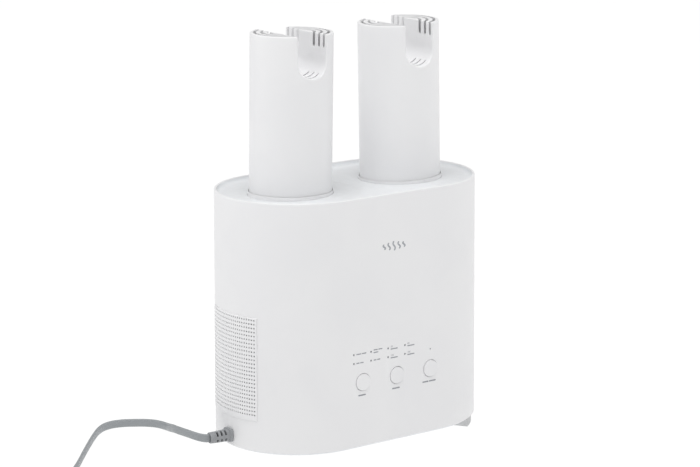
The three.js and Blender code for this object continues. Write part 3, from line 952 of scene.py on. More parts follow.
@dataclass
class MainsLead:
    """The flat lead from the housing to its plug, wound up with a tie, and its strain relief.

    The lead's length is in metres, and the other sizes are in millimetres.
    """

    height: float = 7.4
    width: float = 3.0
    length: float = 1.5
    exit_height: float = 19.1
    relief_straight: float = 5.0
    relief_bend: float = 120.0
    relief_length: float = 21.0
    relief_slots: Numbers = (7.0, 10.9, 14.8)
    relief_slot_half: float = 0.85
    coil_centre: tuple[float, float] = (-303.0, -72.0)
    coil_radii: tuple[float, float] = (33.2, 43.0)
    coil_layers: tuple[float, float] = (3.9, 11.5)
    coil_angles: tuple[float, float] = (136.8, 280.8)
    coil_whole_turns: int = 4
    tie_angle: float = 205.0
    tie_slack: float = 0.35
    plug_place: Place = (-235.0, -101.0, 7.0)
    plug_depth: float = 36.0
    plug_heading: float = 12.0
    pin_aside: float = 9.3

    lead_route: tuple[Place, ...] = (
        (-150.8, 2.4, 19.5), (-153.4, 4.8, 20.0), (-155.0, 8.6, 20.3), (-155.8, 13.5, 20.4),
        (-156.2, 19.7, 20.3), (-156.4, 26.8, 20.0), (-155.6, 36.5, 19.1), (-153.0, 47.5, 17.4),
        (-148.7, 59.0, 14.5), (-142.8, 70.6, 10.9), (-137.4, 81.5, 7.7), (-133.8, 91.8, 5.4),
        (-132.9, 101.3, 4.3), (-135.0, 109.3, 3.9), (-140.2, 116.0, 3.8), (-147.8, 121.7, 3.8),
        (-156.4, 126.4, 3.9), (-166.4, 128.7, 3.9), (-176.4, 126.6, 3.9), (-186.4, 119.8, 3.9),
        (-198.2, 108.0, 3.9), (-214.2, 90.0, 3.9), (-232.2, 69.0, 3.9), (-254.2, 43.0, 3.9),
        (-280.0, 15.3, 3.9), (-303.6, -9.9, 3.9), (-318.9, -26.2, 3.9),
    )
    tail_route: tuple[Place, ...] = (
        (-273.9, -110.2, 11.3), (-263.0, -107.9, 10.6), (-252.0, -105.2, 9.0),
        (-243.0, -102.8, 7.6), (-235.6, -101.1, 7.0),
    )

    def build(self, dresser: Dresser) -> None:
        """Builds and dresses the strain relief, the cord, its tie and its plug.

        Args:
            dresser: What gives the pieces their finish and body.
        """
        relief = dresser.dress(self.relief(), Finish.RELIEF,
                               replaces=["strain_relief"])
        path = self.path()
        cord = dresser.dress(self.cord(path), Finish.LEAD,
                             replaces=["power_cord", "cord_coil", "cord_tail"])
        tie = dresser.dress(self.tie(), Finish.TIE, replaces=["cord_tie"])
        plug = dresser.dress(self.plug(), Finish.PLUG,
                             replaces=["plug_body"])
        pins = [dresser.dress(self.pin(number, side), Finish.STEEL,
                              replaces=[f"plug_pin_{number}"])
                for number, side in ((1, -1), (2, 1))]

    @staticmethod
    def outlet() -> float:
        """Where the housing's left end is, along X."""
        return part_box("body_shell")[0].x / MM

    def relief_axis(self, s: Array) -> tuple[Array, Array]:
        """The strain relief's axis: straight out along -X, then an arc towards +Y.

        Args:
            s: Distances from the housing.

        Returns:
            The axis's points, and its directions.
        """
        angle = np.maximum(0.0, s - self.relief_straight) / self.relief_bend
        start = self.outlet() + 0.05
        centre = np.stack([
            start - np.minimum(s, self.relief_straight) - self.relief_bend * np.sin(angle),
            self.relief_bend * (1 - np.cos(angle)), np.full_like(s, self.exit_height)], axis=-1)
        return centre, np.stack([-np.cos(angle), np.sin(angle), np.zeros_like(s)], axis=-1)

    def relief(self) -> Piece:
        """The strain relief: a square flange, and a tapered boot with three rings of slots.

        Each ring is sunk where cos(4 (a - 45 degrees)) is high, so it is cut in four by the
        ribs on the front, back, top and bottom.
        """
        end = self.relief_length
        steps = 96
        body = np.concatenate([np.linspace(3.2, end - 1.2, 90), [end - 0.6, end - 0.15, end]])
        s = np.concatenate([[-6.0, -6.0, -3.3, -3.3, 0.15, 0.15, 0.5, 2.7, 3.1], body,
                            [end, end - 2.0, end - 2.0]])
        taper = 5.35 - (body - 3) * 0.035
        taper[-3:] -= (0.05, 0.3, 0.8)
        radius = np.concatenate([[0.0, 6.4, 6.4, 4.5, 4.5, 5.7, 6.0, 6.0, 5.6], taper,
                                 [3.6, 3.3, 0.0]])
        squareness = np.where(s < 3.15, 5.0, 2.5)
        angle = np.linspace(0, 2 * np.pi, steps, endpoint=False)
        cosine, sine = np.abs(np.cos(angle)), np.abs(np.sin(angle))
        shape = (cosine ** squareness[:, None] + sine ** squareness[:, None]) \
            ** (-1 / squareness[:, None])
        quarter = np.clip((np.cos(4 * (angle - QUARTER / 2)) + 0.35) * 4, 0, 1)
        ring = sum(np.clip((self.relief_slot_half - np.abs(s - at)) * 5, 0, 1)
                   for at in self.relief_slots)
        sunk = ring[:, None] * quarter[None, :]
        reach = np.where(radius[:, None] > 0, radius[:, None] * shape - 2.3 * sunk, 0.0)
        centre, ahead = self.relief_axis(s)
        over = np.array([0.0, 0.0, 1.0])
        across = np.cross(over, ahead)
        section = np.stack([reach * np.cos(angle), reach * np.sin(angle)], axis=-1)
        shell = swept(centre, across, np.broadcast_to(over, centre.shape), section,
                      np.ones(len(s)))
        # sunk also drives the painted shade that darkens the slots in the rubber's colour
        shell.fields = {"sunk": sunk}
        return shell.build("strain_relief_boot", 40.0)

    def coil_path(self) -> Array:
        """The wound part's centreline, in millimetres.

        The radius goes from outer to inner on the lower layer and back out on the upper one,
        linearly in the angle, and the height steps up between the layers in a smooth step.
        """
        inner, outer = self.coil_radii
        first, last = np.radians(self.coil_angles)
        total = last - first + self.coil_whole_turns * 2 * np.pi
        swing = np.linspace(0, 1, 24 * self.coil_whole_turns + 12)
        radius = inner + (outer - inner) * np.abs(1 - 2 * swing)
        rise = np.clip((swing - 0.5) * total / (0.7 * np.pi) + 0.5, 0, 1)
        low, high = self.coil_layers
        height = low + (high - low) * rise ** 2 * (3 - 2 * rise)
        angle = first + total * swing
        return np.stack([self.coil_centre[0] + radius * np.cos(angle),
                         self.coil_centre[1] + radius * np.sin(angle), height], axis=-1)

    def path(self) -> Array:
        """The cord's centreline in millimetres: a smooth curve through the whole route."""
        inside, _ = self.relief_axis(np.array([self.relief_length - 4.0,
                                               self.relief_length + 0.7]))
        return smooth_curve(np.concatenate([inside, self.lead_route, self.coil_path(),
                                            self.tail_route]), 6)

    def cord(self, path: Array) -> Piece:
        """The cord: two round cores side by side in one flat jacket, standing on its edge.

        The section is an ellipse of the cord's height and width, pinched in the middle of
        each flat side, and it is carried along the path with its long side upright.

        Args:
            path: The cord's centreline.

        Returns:
            The cord.
        """
        steps = 24
        angle = np.linspace(0, 2 * np.pi, steps, endpoint=False)
        pinch = 1 - 0.18 * np.abs(np.cos(angle)) ** 10
        section = np.stack([self.width / 2 * np.cos(angle) * pinch,
                            self.height / 2 * np.sin(angle)], axis=-1)
        ahead = np.gradient(path, axis=0)
        ahead /= np.linalg.norm(ahead, axis=1, keepdims=True)
        across = np.cross([0.0, 0.0, 1.0], ahead)
        across /= np.linalg.norm(across, axis=1, keepdims=True)
        over = np.cross(ahead, across)
        ends = [0, 0, *range(len(path)), len(path) - 1, len(path) - 1]
        size = np.array([0.0, *np.ones(len(ends) - 2), 0.0])
        surface = swept(path[ends], across[ends], over[ends], section, size)
        stretches = np.linalg.norm(np.diff(path, axis=0), axis=1)
        along = np.concatenate([[0.0], np.cumsum(stretches)])[ends] / 10
        surface.fields = {"along": np.repeat(along, steps),
                          "ring": np.tile(np.abs(angle / np.pi - 1), len(ends))}
        return surface.build("mains_cord", 50.0)

    def tie(self) -> Piece:
        """A strap looped once round the coil's turns: a flat section carried round a rounded
        rectangle, in the upright plane through the coil's centre."""
        inner, outer = self.coil_radii
        slack = self.width / 2 + self.tie_slack
        low, high = 0.45, self.coil_layers[1] + self.height / 2 + 0.55
        loop = divided(softened([(inner - slack, low), (outer + slack, low),
                                 (outer + slack, high), (inner - slack, high)], 2.2, 7), 2.0)
        ahead = np.roll(loop, -1, axis=0) - np.roll(loop, 1, axis=0)
        ahead /= np.linalg.norm(ahead, axis=1, keepdims=True)
        normal = np.stack([ahead[:, 1], -ahead[:, 0]], axis=-1)
        strap = softened([(-0.4, -4.4), (0.4, -4.4), (0.4, 4.4), (-0.4, 4.4)], 0.25, 3)
        flat = loop[:, None, :] + normal[:, None, :] * strap[None, :, :1]
        aside = np.broadcast_to(strap[None, :, 1:], flat.shape[:2] + (1,))
        points = np.concatenate([flat[..., :1], aside, flat[..., 1:]], axis=2)
        turn = math.radians(self.tie_angle)
        axes = [(math.cos(turn), math.sin(turn), 0), (-math.sin(turn), math.cos(turn), 0),
                (0, 0, 1)]
        return Surface.grid(points, True, True).placed(
            axes, (*self.coil_centre, 0)).build("cord_strap", 40.0)

    def plug_axes(self) -> tuple[list[Place], Place]:
        """The plug's frame: x along its pins, and its origin where the cord goes in."""
        turn = math.radians(self.plug_heading)
        return ([(math.cos(turn), math.sin(turn), 0), (-math.sin(turn), math.cos(turn), 0),
                 (0, 0, 1)], self.plug_place)

    def plug(self) -> Piece:
        """The plug: a rounded section that widens from the cord's neck to the pin face.

        Half its width is a smooth step from the neck's to the face's, and grooves for the
        fingers are sunk in the neck by a rounded wave.
        """
        face = self.plug_depth
        x = np.concatenate([[0, 0, 0.25, 0.8], np.linspace(1.4, face - 2, 60),
                            [face - 1.1, face - 0.4, face, face]])
        open_up = np.clip((x - 7) / 11, 0, 1)
        half_width = 5.2 + 6.6 * open_up ** 2 * (3 - 2 * open_up)
        half_height = 5.0 + 1.7 * open_up ** 2 * (3 - 2 * open_up)
        grooves = np.where((x > 2.2) & (x < 13.4),
                           0.45 * np.clip(np.sin(2 * np.pi * (x - 2.2) / 2.8) * 2, 0, 1), 0)
        size = np.ones(len(x))
        size[:4] = (0.0, 0.84, 0.92, 0.98)
        size[-4:] = (0.99, 0.96, 0.9, 0.0)
        outline = superellipse(1.0, 1.0, 3.2, 48)
        section = outline[None] * np.stack([half_width - grooves, half_height - grooves],
                                           axis=-1)[:, None, :]
        centre = np.stack([x, np.zeros_like(x), np.zeros_like(x)], axis=-1)
        ones = np.ones((len(x), 1))
        shell = swept(centre, ones * [0.0, 1.0, 0.0], ones * [0.0, 0.0, 1.0], section, size)
        return shell.placed(*self.plug_axes()).build("plug_grip", 40.0)

    def pin(self, number: int, side: int) -> Piece:
        """A plug pin: a round bar with a domed tip, turned about its length.

        Args:
            number: The pin's number.
            side: -1 or 1, for the side of the plug's middle that it is on.

        Returns:
            The pin.
        """
        tip = np.linspace(0, QUARTER, 7)
        profile = [(0.0, 0.4), (2.0, 0.4), *zip(2.0 * np.cos(tip), 17.2 + 1.6 * np.sin(tip))]
        shell = turned(profile, 32)
        upright = np.array([(0, 1, 0), (0, 0, 1), (1, 0, 0)], float)
        shell = shell.placed(upright, (self.plug_depth, side * self.pin_aside, 0))
        return shell.placed(*self.plug_axes()).build(f"plug_contact_{number}", 40.0)


# ------------------------------------------------------------------ housing

@dataclass
class Housing:
    """The casing with its tray, base and feet. Lengths are in millimetres.

    The casing is a rounded-end tube: every level is the set of points at one distance from
    the line between its two end centres, and that distance grows by flare towards the foot.
    """

    flare: float = 1.0
    wall: float = 2.4
    tray_drop: float = 4.3
    tray_thickness: float = 3.0
    tray_fillet: float = 3.4
    arc_steps: int = 84
    side_steps: int = 24
    screws: int = 4
    foot_span: tuple[float, float] = (25.0, 56.0)
    left_foot_radii: tuple[float, float] = (25.0, 42.0)
    right_foot_radii: tuple[float, float] = (52.0, 70.0)

    def __post_init__(self) -> None:
        """Reads the driving sizes from the frame."""
        low, high = (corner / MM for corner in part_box("body_shell"))
        self.bottom: float = low.z
        self.rim: float = high.z
        self.radius: float = high.y - self.flare
        self.end_centre: float = high.x - high.y
        self.tray_top: float = self.rim - self.tray_drop

    def flare_at(self, z: Array) -> Array:
        """How much further out than the rim the skin is at height z."""
        return self.flare * (self.rim - z) / (self.rim - self.bottom)

    def rail(self) -> tuple[Array, Array]:
        """The casing's rail: its feet slide between the end centres and stop at them."""
        sweep = np.linspace(-QUARTER, QUARTER, self.arc_steps, endpoint=False)
        slide = np.linspace(self.end_centre, -self.end_centre, self.side_steps,
                            endpoint=False)
        stay = np.full_like(sweep, self.end_centre)
        x = np.concatenate([stay, slide, -stay, -slide])
        turn = np.concatenate([sweep, np.full_like(slide, QUARTER), sweep + np.pi,
                               np.full_like(slide, -QUARTER)])
        return (np.stack([x, np.zeros_like(x)], axis=-1),
                np.stack([np.cos(turn), np.sin(turn)], axis=-1))

    def skin(self, profile: Array) -> Surface:
        """Carries a profile round the casing, with the flare added to its distances.

        Args:
            profile: Distances from the end centres at the rim's size, and heights.

        Returns:
            The closed surface.
        """
        flared = profile.copy()
        flared[:, 0] += self.flare_at(profile[:, 1])
        return around(self.rail(), flared)

    def build(self, dresser: Dresser, controls: "Controls", grille: "IntakeGrille") -> None:
        """Builds and dresses the casing, the tray, the base plate, the feet and the screws.

        Args:
            dresser: What gives the pieces their finish and body.
            controls: The controls that the casing is cut for.
            grille: The grille that the casing is cut for.
        """
        dresser.dress(self.casing(controls, grille), Finish.SHELL,
                      replaces=["body_shell"])
        dresser.dress(self.tray(), Finish.TRAY, replaces=["top_tray"])
        dresser.dress(self.base(), Finish.TRAY, replaces=["base_plate"])
        for side, sign in (("left", -1), ("right", 1)):
            for row, way in (("front", -1), ("rear", 1)):
                name = f"foot_{side}_{row}"
                dresser.dress(self.foot(name, sign, way), Finish.FOOT,
                              replaces=[name])
        for number in range(1, self.screws + 1):
            name = f"base_screw_{number}"
            dresser.dress(self.screw(name), Finish.STEEL, replaces=[name])

    def casing(self, controls: "Controls", grille: "IntakeGrille") -> Piece:
        """The casing: a wall with a rounded rim, cut for the buttons, lights, intake and lead.

        Args:
            controls: The controls that it is cut for.
            grille: The grille that it is cut for.

        Returns:
            The casing.
        """
        inside = self.radius - self.wall
        corners = [(self.radius, self.bottom), (self.radius, self.rim), (inside, self.rim),
                   (inside, self.bottom)]
        profile = divided(softened(corners, (0.7, 1.3, 1.0, 0.4), 6), 24.0)
        piece = self.skin(profile).build("casing")
        hole = turned([(0, -8), (5.0, -8), (5.0, 8), (0, 8)], 40)
        lead = hole.placed([(0, 1, 0), (0, 0, 1), (1, 0, 0)],
                           (-self.end_centre - self.radius, 0, MainsLead().exit_height))
        cut_away(piece, [*controls.openings(), grille.opening(), lead])
        return piece

    def tray(self) -> Piece:
        """The tray under the tubes, with an oval opening round each tube.

        Each half is the plane between its opening and the casing: at angle a round the tube's
        centre, points go straight from the oval to where the ray at a leaves the half. The
        ray's length is the least of its lengths to the dividing line, the straight side and
        the round end. The last stretch to the casing rises in a quarter circle.
        """
        tube = AirTube("right")
        reach = self.radius - self.wall - 0.1
        centre = tube.spacing / 2
        corner = math.atan2(reach, -centre)
        outer_turn = np.linspace(-corner, corner, 150, endpoint=False)
        inner_turn = np.linspace(corner, 2 * np.pi - corner, 40, endpoint=False)
        turn = np.concatenate([outer_turn, inner_turn])
        cosine, sine = np.cos(turn), np.sin(turn)
        with np.errstate(divide="ignore", invalid="ignore"):
            to_middle = np.where(cosine < -1e-9, -centre / cosine, np.inf)
            to_side = np.where(np.abs(sine) > 1e-9, reach / np.abs(sine), np.inf)
            offset = centre - self.end_centre
            to_end = -offset * cosine + np.sqrt((offset * cosine) ** 2 - offset ** 2
                                                + reach ** 2)
            within = centre + to_side * cosine <= self.end_centre
        far = np.minimum(to_middle, np.where(within, to_side, to_end))
        outer = np.stack([centre + far * cosine, far * sine], axis=-1)
        half_x, half_y = tube.half_x + 1.5, tube.half_y + 1.5
        near = half_x * half_y / np.hypot(half_y * cosine, half_x * sine)
        hole = np.stack([centre + near * cosine, near * sine], axis=-1)
        top, low = self.tray_top, self.tray_top - self.tray_thickness
        span = np.linalg.norm(outer - hole, axis=1)
        inward = np.array([0.0, 0.0, 0.06, 0.2, 0.42, 0.69, 1.0]) * self.tray_fillet
        steps = [(np.zeros_like(span), low), (np.zeros_like(span), top - 0.45),
                 (np.full_like(span, 0.12), top - 0.12), (np.full_like(span, 0.45), top),
                 *[(span * share, top) for share in (0.25, 0.5)]]
        edge_reach = np.where(np.isclose(far, to_middle), 0.0, 1.0)
        steps += [(span - np.minimum(away, span * 0.4),
                   top + edge_reach * (self.tray_fillet - np.sqrt(
                       self.tray_fillet ** 2 - (self.tray_fillet - away) ** 2)))
                  for away in inward[:0:-1]]
        steps += [(span, low)]
        rows = [np.column_stack([hole + (outer - hole) * (distance / span)[:, None],
                                 np.broadcast_to(height, span.shape)])
                for distance, height in steps]
        points = np.stack(rows)
        keep = np.ones((len(rows), len(turn)), bool)
        keep[-1, len(outer_turn):] = False
        right = Surface.grid(points, True, True, keep)
        left = Surface(right.points * (-1, 1, 1), right.faces)
        return Surface.joined([right, left]).build("tray_panel")

    def base(self) -> Piece:
        """The base plate: its levels close onto the line between the end centres, where the
        profile's distance is 0, and its screw holes are sunk from below."""
        edge = self.radius - self.wall - 0.3
        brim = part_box("base_plate")[1].z / MM
        profile = np.array([(0.0, 8.0), (edge - 0.6, 8.0), (edge, 8.6), (edge, brim),
                            (edge - 2, brim), (edge - 2, 11.0), (0.0, 11.0)])
        foot, normal = self.rail()
        distance = profile[:, 0] + np.where(profile[:, 0] > 0,
                                            self.flare_at(profile[:, 1]), 0)
        flat = foot[:, None, :] + normal[:, None, :] * distance[None, :, None]
        height = np.broadcast_to(profile[None, :, 1:], flat.shape[:2] + (1,))
        piece = Surface.grid(np.concatenate([flat, height], axis=2),
                             loop_rows=True).build("base_panel")
        cutters = []
        for number in range(1, self.screws + 1):
            low, high = (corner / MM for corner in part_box(f"base_screw_{number}"))
            middle = (low + high) / 2
            hole = turned([(0, 6), (4.1, 6), (3.7, 8.4), (3.7, 10), (1.9, 10), (1.9, 13),
                           (0, 13)], 32)
            cutters.append(hole.placed(np.eye(3), (middle.x, middle.y, 0)))
        cut_away(piece, cutters)
        return piece

    def screw(self, node: str) -> Piece:
        """A countersunk base screw: a domed head with a cross recess, and a plain shank.

        Args:
            node: The frame's screw, which gives its place and height.

        Returns:
            The screw.
        """
        low, high = (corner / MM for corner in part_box(node))
        middle = (low + high) / 2
        profile = [(0, 8.4), (1.6, 8.42), (2.8, 8.65), (3.3, 9.1), (3.3, 9.7), (1.4, 9.9),
                   (1.4, high.z - 0.9), (0.3, high.z), (0, high.z)]
        piece = turned(profile, 32).placed(np.eye(3), (middle.x, middle.y, 0)).build(
            node + "_bolt", 30.0)
        x, y = middle.x, middle.y
        slots = [bar((x - 2, y - 0.35, 8.0), (x + 2, y + 0.35, 9.1)),
                 bar((x - 0.35, y - 2, 8.0), (x + 0.35, y + 2, 9.3))]
        cut_away(piece, slots[:1], 30.0)
        cut_away(piece, slots[1:], 30.0)
        return piece

    def foot(self, node: str, side: int, way: int) -> Piece:
        """A foot pad: a rounded rectangle carried along an arc round the end centre.

        Its size eases from 0 at a flat end to 1 in a quarter circle, so the ends are soft.

        Args:
            node: The frame's foot, which gives its heights.
            side: -1 or 1, for the left or the right end.
            way: -1 or 1, for the front or the rear.

        Returns:
            The foot pad.
        """
        low, high = (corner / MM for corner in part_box(node))
        inner, outer = self.right_foot_radii if side > 0 else self.left_foot_radii
        first, last = (math.radians(angle) for angle in self.foot_span)
        ease = np.linspace(0, QUARTER, 6)
        soft = 0.012
        share = np.concatenate([[0.0], soft * (1 - np.cos(ease)), [0.2, 0.35, 0.5, 0.65, 0.8],
                                1 - soft * (1 - np.cos(ease[::-1])), [1.0]])
        size = np.concatenate([[0.0], 0.95 + 0.05 * np.sin(ease), np.ones(5),
                               0.95 + 0.05 * np.sin(ease[::-1]), [0.0]])
        turn = way * (first + (last - first) * share)
        middle = (inner + outer) / 2
        outward = np.stack([side * np.cos(turn), np.sin(turn), np.zeros_like(turn)], axis=-1)
        centre = outward * middle + [side * self.end_centre, 0, (low.z + high.z) / 2]
        half_u, half_v = (outer - inner) / 2, (high.z - low.z) / 2
        section = divided(softened([(-half_u, -half_v), (half_u, -half_v), (half_u, half_v),
                                    (-half_u, half_v)], 0.5, 5), 3.0)
        upward = np.broadcast_to([0.0, 0.0, 1.0], centre.shape)
        return swept(centre, outward, upward, section, size).build(node + "_pad", 40.0)


@dataclass
class IntakeGrille:
    """The perforated panel over the air intake. Lengths are in millimetres.

    It follows the casing's round end, and a place on it is given by its angle from -X, as an
    arc length, and its height.
    """

    housing: Housing
    columns: int = 25
    rows: int = 25
    column_pitch: float = 2.55
    row_pitch: float = 3.5
    hole_width: float = 1.2
    hole_height: float = 1.4
    field_rise: float = 1.8
    proud: float = 0.95
    back: float = -0.5
    lowest: float = 0.12
    edge: float = 0.8

    def __post_init__(self) -> None:
        """Reads the panel's size from the frame."""
        low, high = (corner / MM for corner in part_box("intake_grille"))
        self.half_width: float = high.y
        self.bottom: float = low.z
        self.top: float = high.z

    def build(self, dresser: Dresser) -> None:
        """Builds and dresses the panel, and repaints the filter behind it.

        Args:
            dresser: What gives the pieces their finish and body.
        """
        dresser.dress(self.panel(), Finish.SHELL,
                      replaces=["intake_grille"])
        dresser.repaint(Finish.FELT, "intake_filter")

    def opening(self) -> Surface:
        """The window in the casing behind the perforated field.

        Returns:
            The window's cutter.
        """
        half = self.half_width - 1.3
        reach = self.housing.end_centre + self.housing.radius
        window = bar((self.bottom + 1.8, -half, -12), (self.top - 0.9, half, 12), 1.0)
        return window.placed([(0, 0, 1), (0, 1, 0), (1, 0, 0)], (-reach + 4, 0, 0))

    @staticmethod
    def knots(count: int, pitch: float, hole: float, low: float, high: float,
              rise: float = 0.0) -> tuple[Array, Array]:
        """Grid lines across the panel: its soft edges, and both sides of each hole.

        Args:
            count: How many holes there are.
            pitch: The distance between them.
            hole: The size of one.
            low: Where the panel starts.
            high: Where it ends.
            rise: How far the middle of the holes is above the panel's middle.

        Returns:
            The lines, and for each strip between two of them whether it is a hole's.
        """
        middles = (low + high) / 2 + rise + (np.arange(count) - (count - 1) / 2) * pitch
        sides = np.stack([middles - hole / 2, middles + hole / 2], axis=-1).ravel()
        edge = np.array([0.0, 0.1, 0.35, 0.8])
        lines = np.concatenate([low + edge, sides, high - edge[::-1]])
        strips = np.zeros(len(lines) - 1, bool)
        strips[len(edge):len(edge) + 2 * count:2] = True
        return lines, strips

    def panel(self) -> Piece:
        """The panel: two sheets that follow the casing, joined round the rim and the holes.

        The outer sheet is proud by the panel's height, and falls to the casing in a rounded
        edge: its height at distance e from the edge is the quarter circle
        sqrt(1 - (1 - e / edge)^2) over the edge's width. The inner sheet lies inside the
        window.

        Returns:
            The panel.
        """
        radius = self.housing.radius + self.proud
        reach = math.asin(self.half_width / radius) * radius
        across, wide = self.knots(self.columns, self.column_pitch, self.hole_width,
                                  -reach, reach)
        up, tall = self.knots(self.rows, self.row_pitch, self.hole_height, self.bottom,
                              self.top, self.field_rise)
        arc, height = np.meshgrid(across, up)
        inward = np.minimum.reduce([arc + reach, reach - arc, height - self.bottom,
                                    self.top - height, np.full_like(arc, self.edge)])
        rounding = np.sqrt(np.clip(1 - (1 - inward / self.edge) ** 2, 0, 1))
        front = self.lowest + (self.proud - self.lowest) * rounding
        inside = (np.abs(arc) < reach - 1.6) & (height > self.bottom + 2.1) \
            & (height < self.top - 0.95)
        rear = np.where(inside, self.back, self.lowest)
        solid = ~(tall[:, None] & wide[None, :])
        count = arc.size
        sheets = [self.sheet(arc, height, out, radius) for out in (front, rear)]
        outer = Surface.grid(sheets[0], keep=solid)
        inner = Surface.grid(sheets[1], keep=solid)
        walls = self.walls(solid, arc.shape[1], count)
        points = np.concatenate([outer.points, inner.points])
        faces = np.concatenate([outer.faces, inner.faces[:, ::-1] + count, walls])
        return Surface(points, faces).build("intake_panel", 32.0)

    def sheet(self, arc: Array, height: Array, out: Array, radius: float) -> Array:
        """Wraps flat places onto the casing's round end: (-centre - d cos t, d sin t, z).

        Args:
            arc: How far each place is along the arc.
            height: How high it is.
            out: How far out it is from the skin.
            radius: The radius that the arc is measured at.

        Returns:
            The places on the casing, in rows and columns.
        """
        turn = arc / radius
        distance = self.housing.radius + self.housing.flare_at(height) + out
        return np.stack([-self.housing.end_centre - distance * np.cos(turn),
                         distance * np.sin(turn), height], axis=-1)

    @staticmethod
    def walls(solid: Array, columns: int, count: int) -> Array:
        """The quads between the two sheets where solid ends: round each hole and the rim.

        Args:
            solid: Which cells of the grid are solid.
            columns: How many points there are in a row.
            count: How many points a sheet has.

        Returns:
            The corners of each quad, two on each sheet.
        """
        padded = np.pad(solid, 1)
        row, column = np.nonzero(padded[1:, 1:-1] != padded[:-1, 1:-1])
        flat = row * columns + column
        sideways = np.stack([flat, flat + 1], axis=-1)
        row, column = np.nonzero(padded[1:-1, 1:] != padded[1:-1, :-1])
        flat = row * columns + column
        upward = np.stack([flat, flat + columns], axis=-1)
        edge = np.concatenate([sideways, upward])
        return np.column_stack([edge, edge[:, ::-1] + count])


# ------------------------------------------------------------------ controls

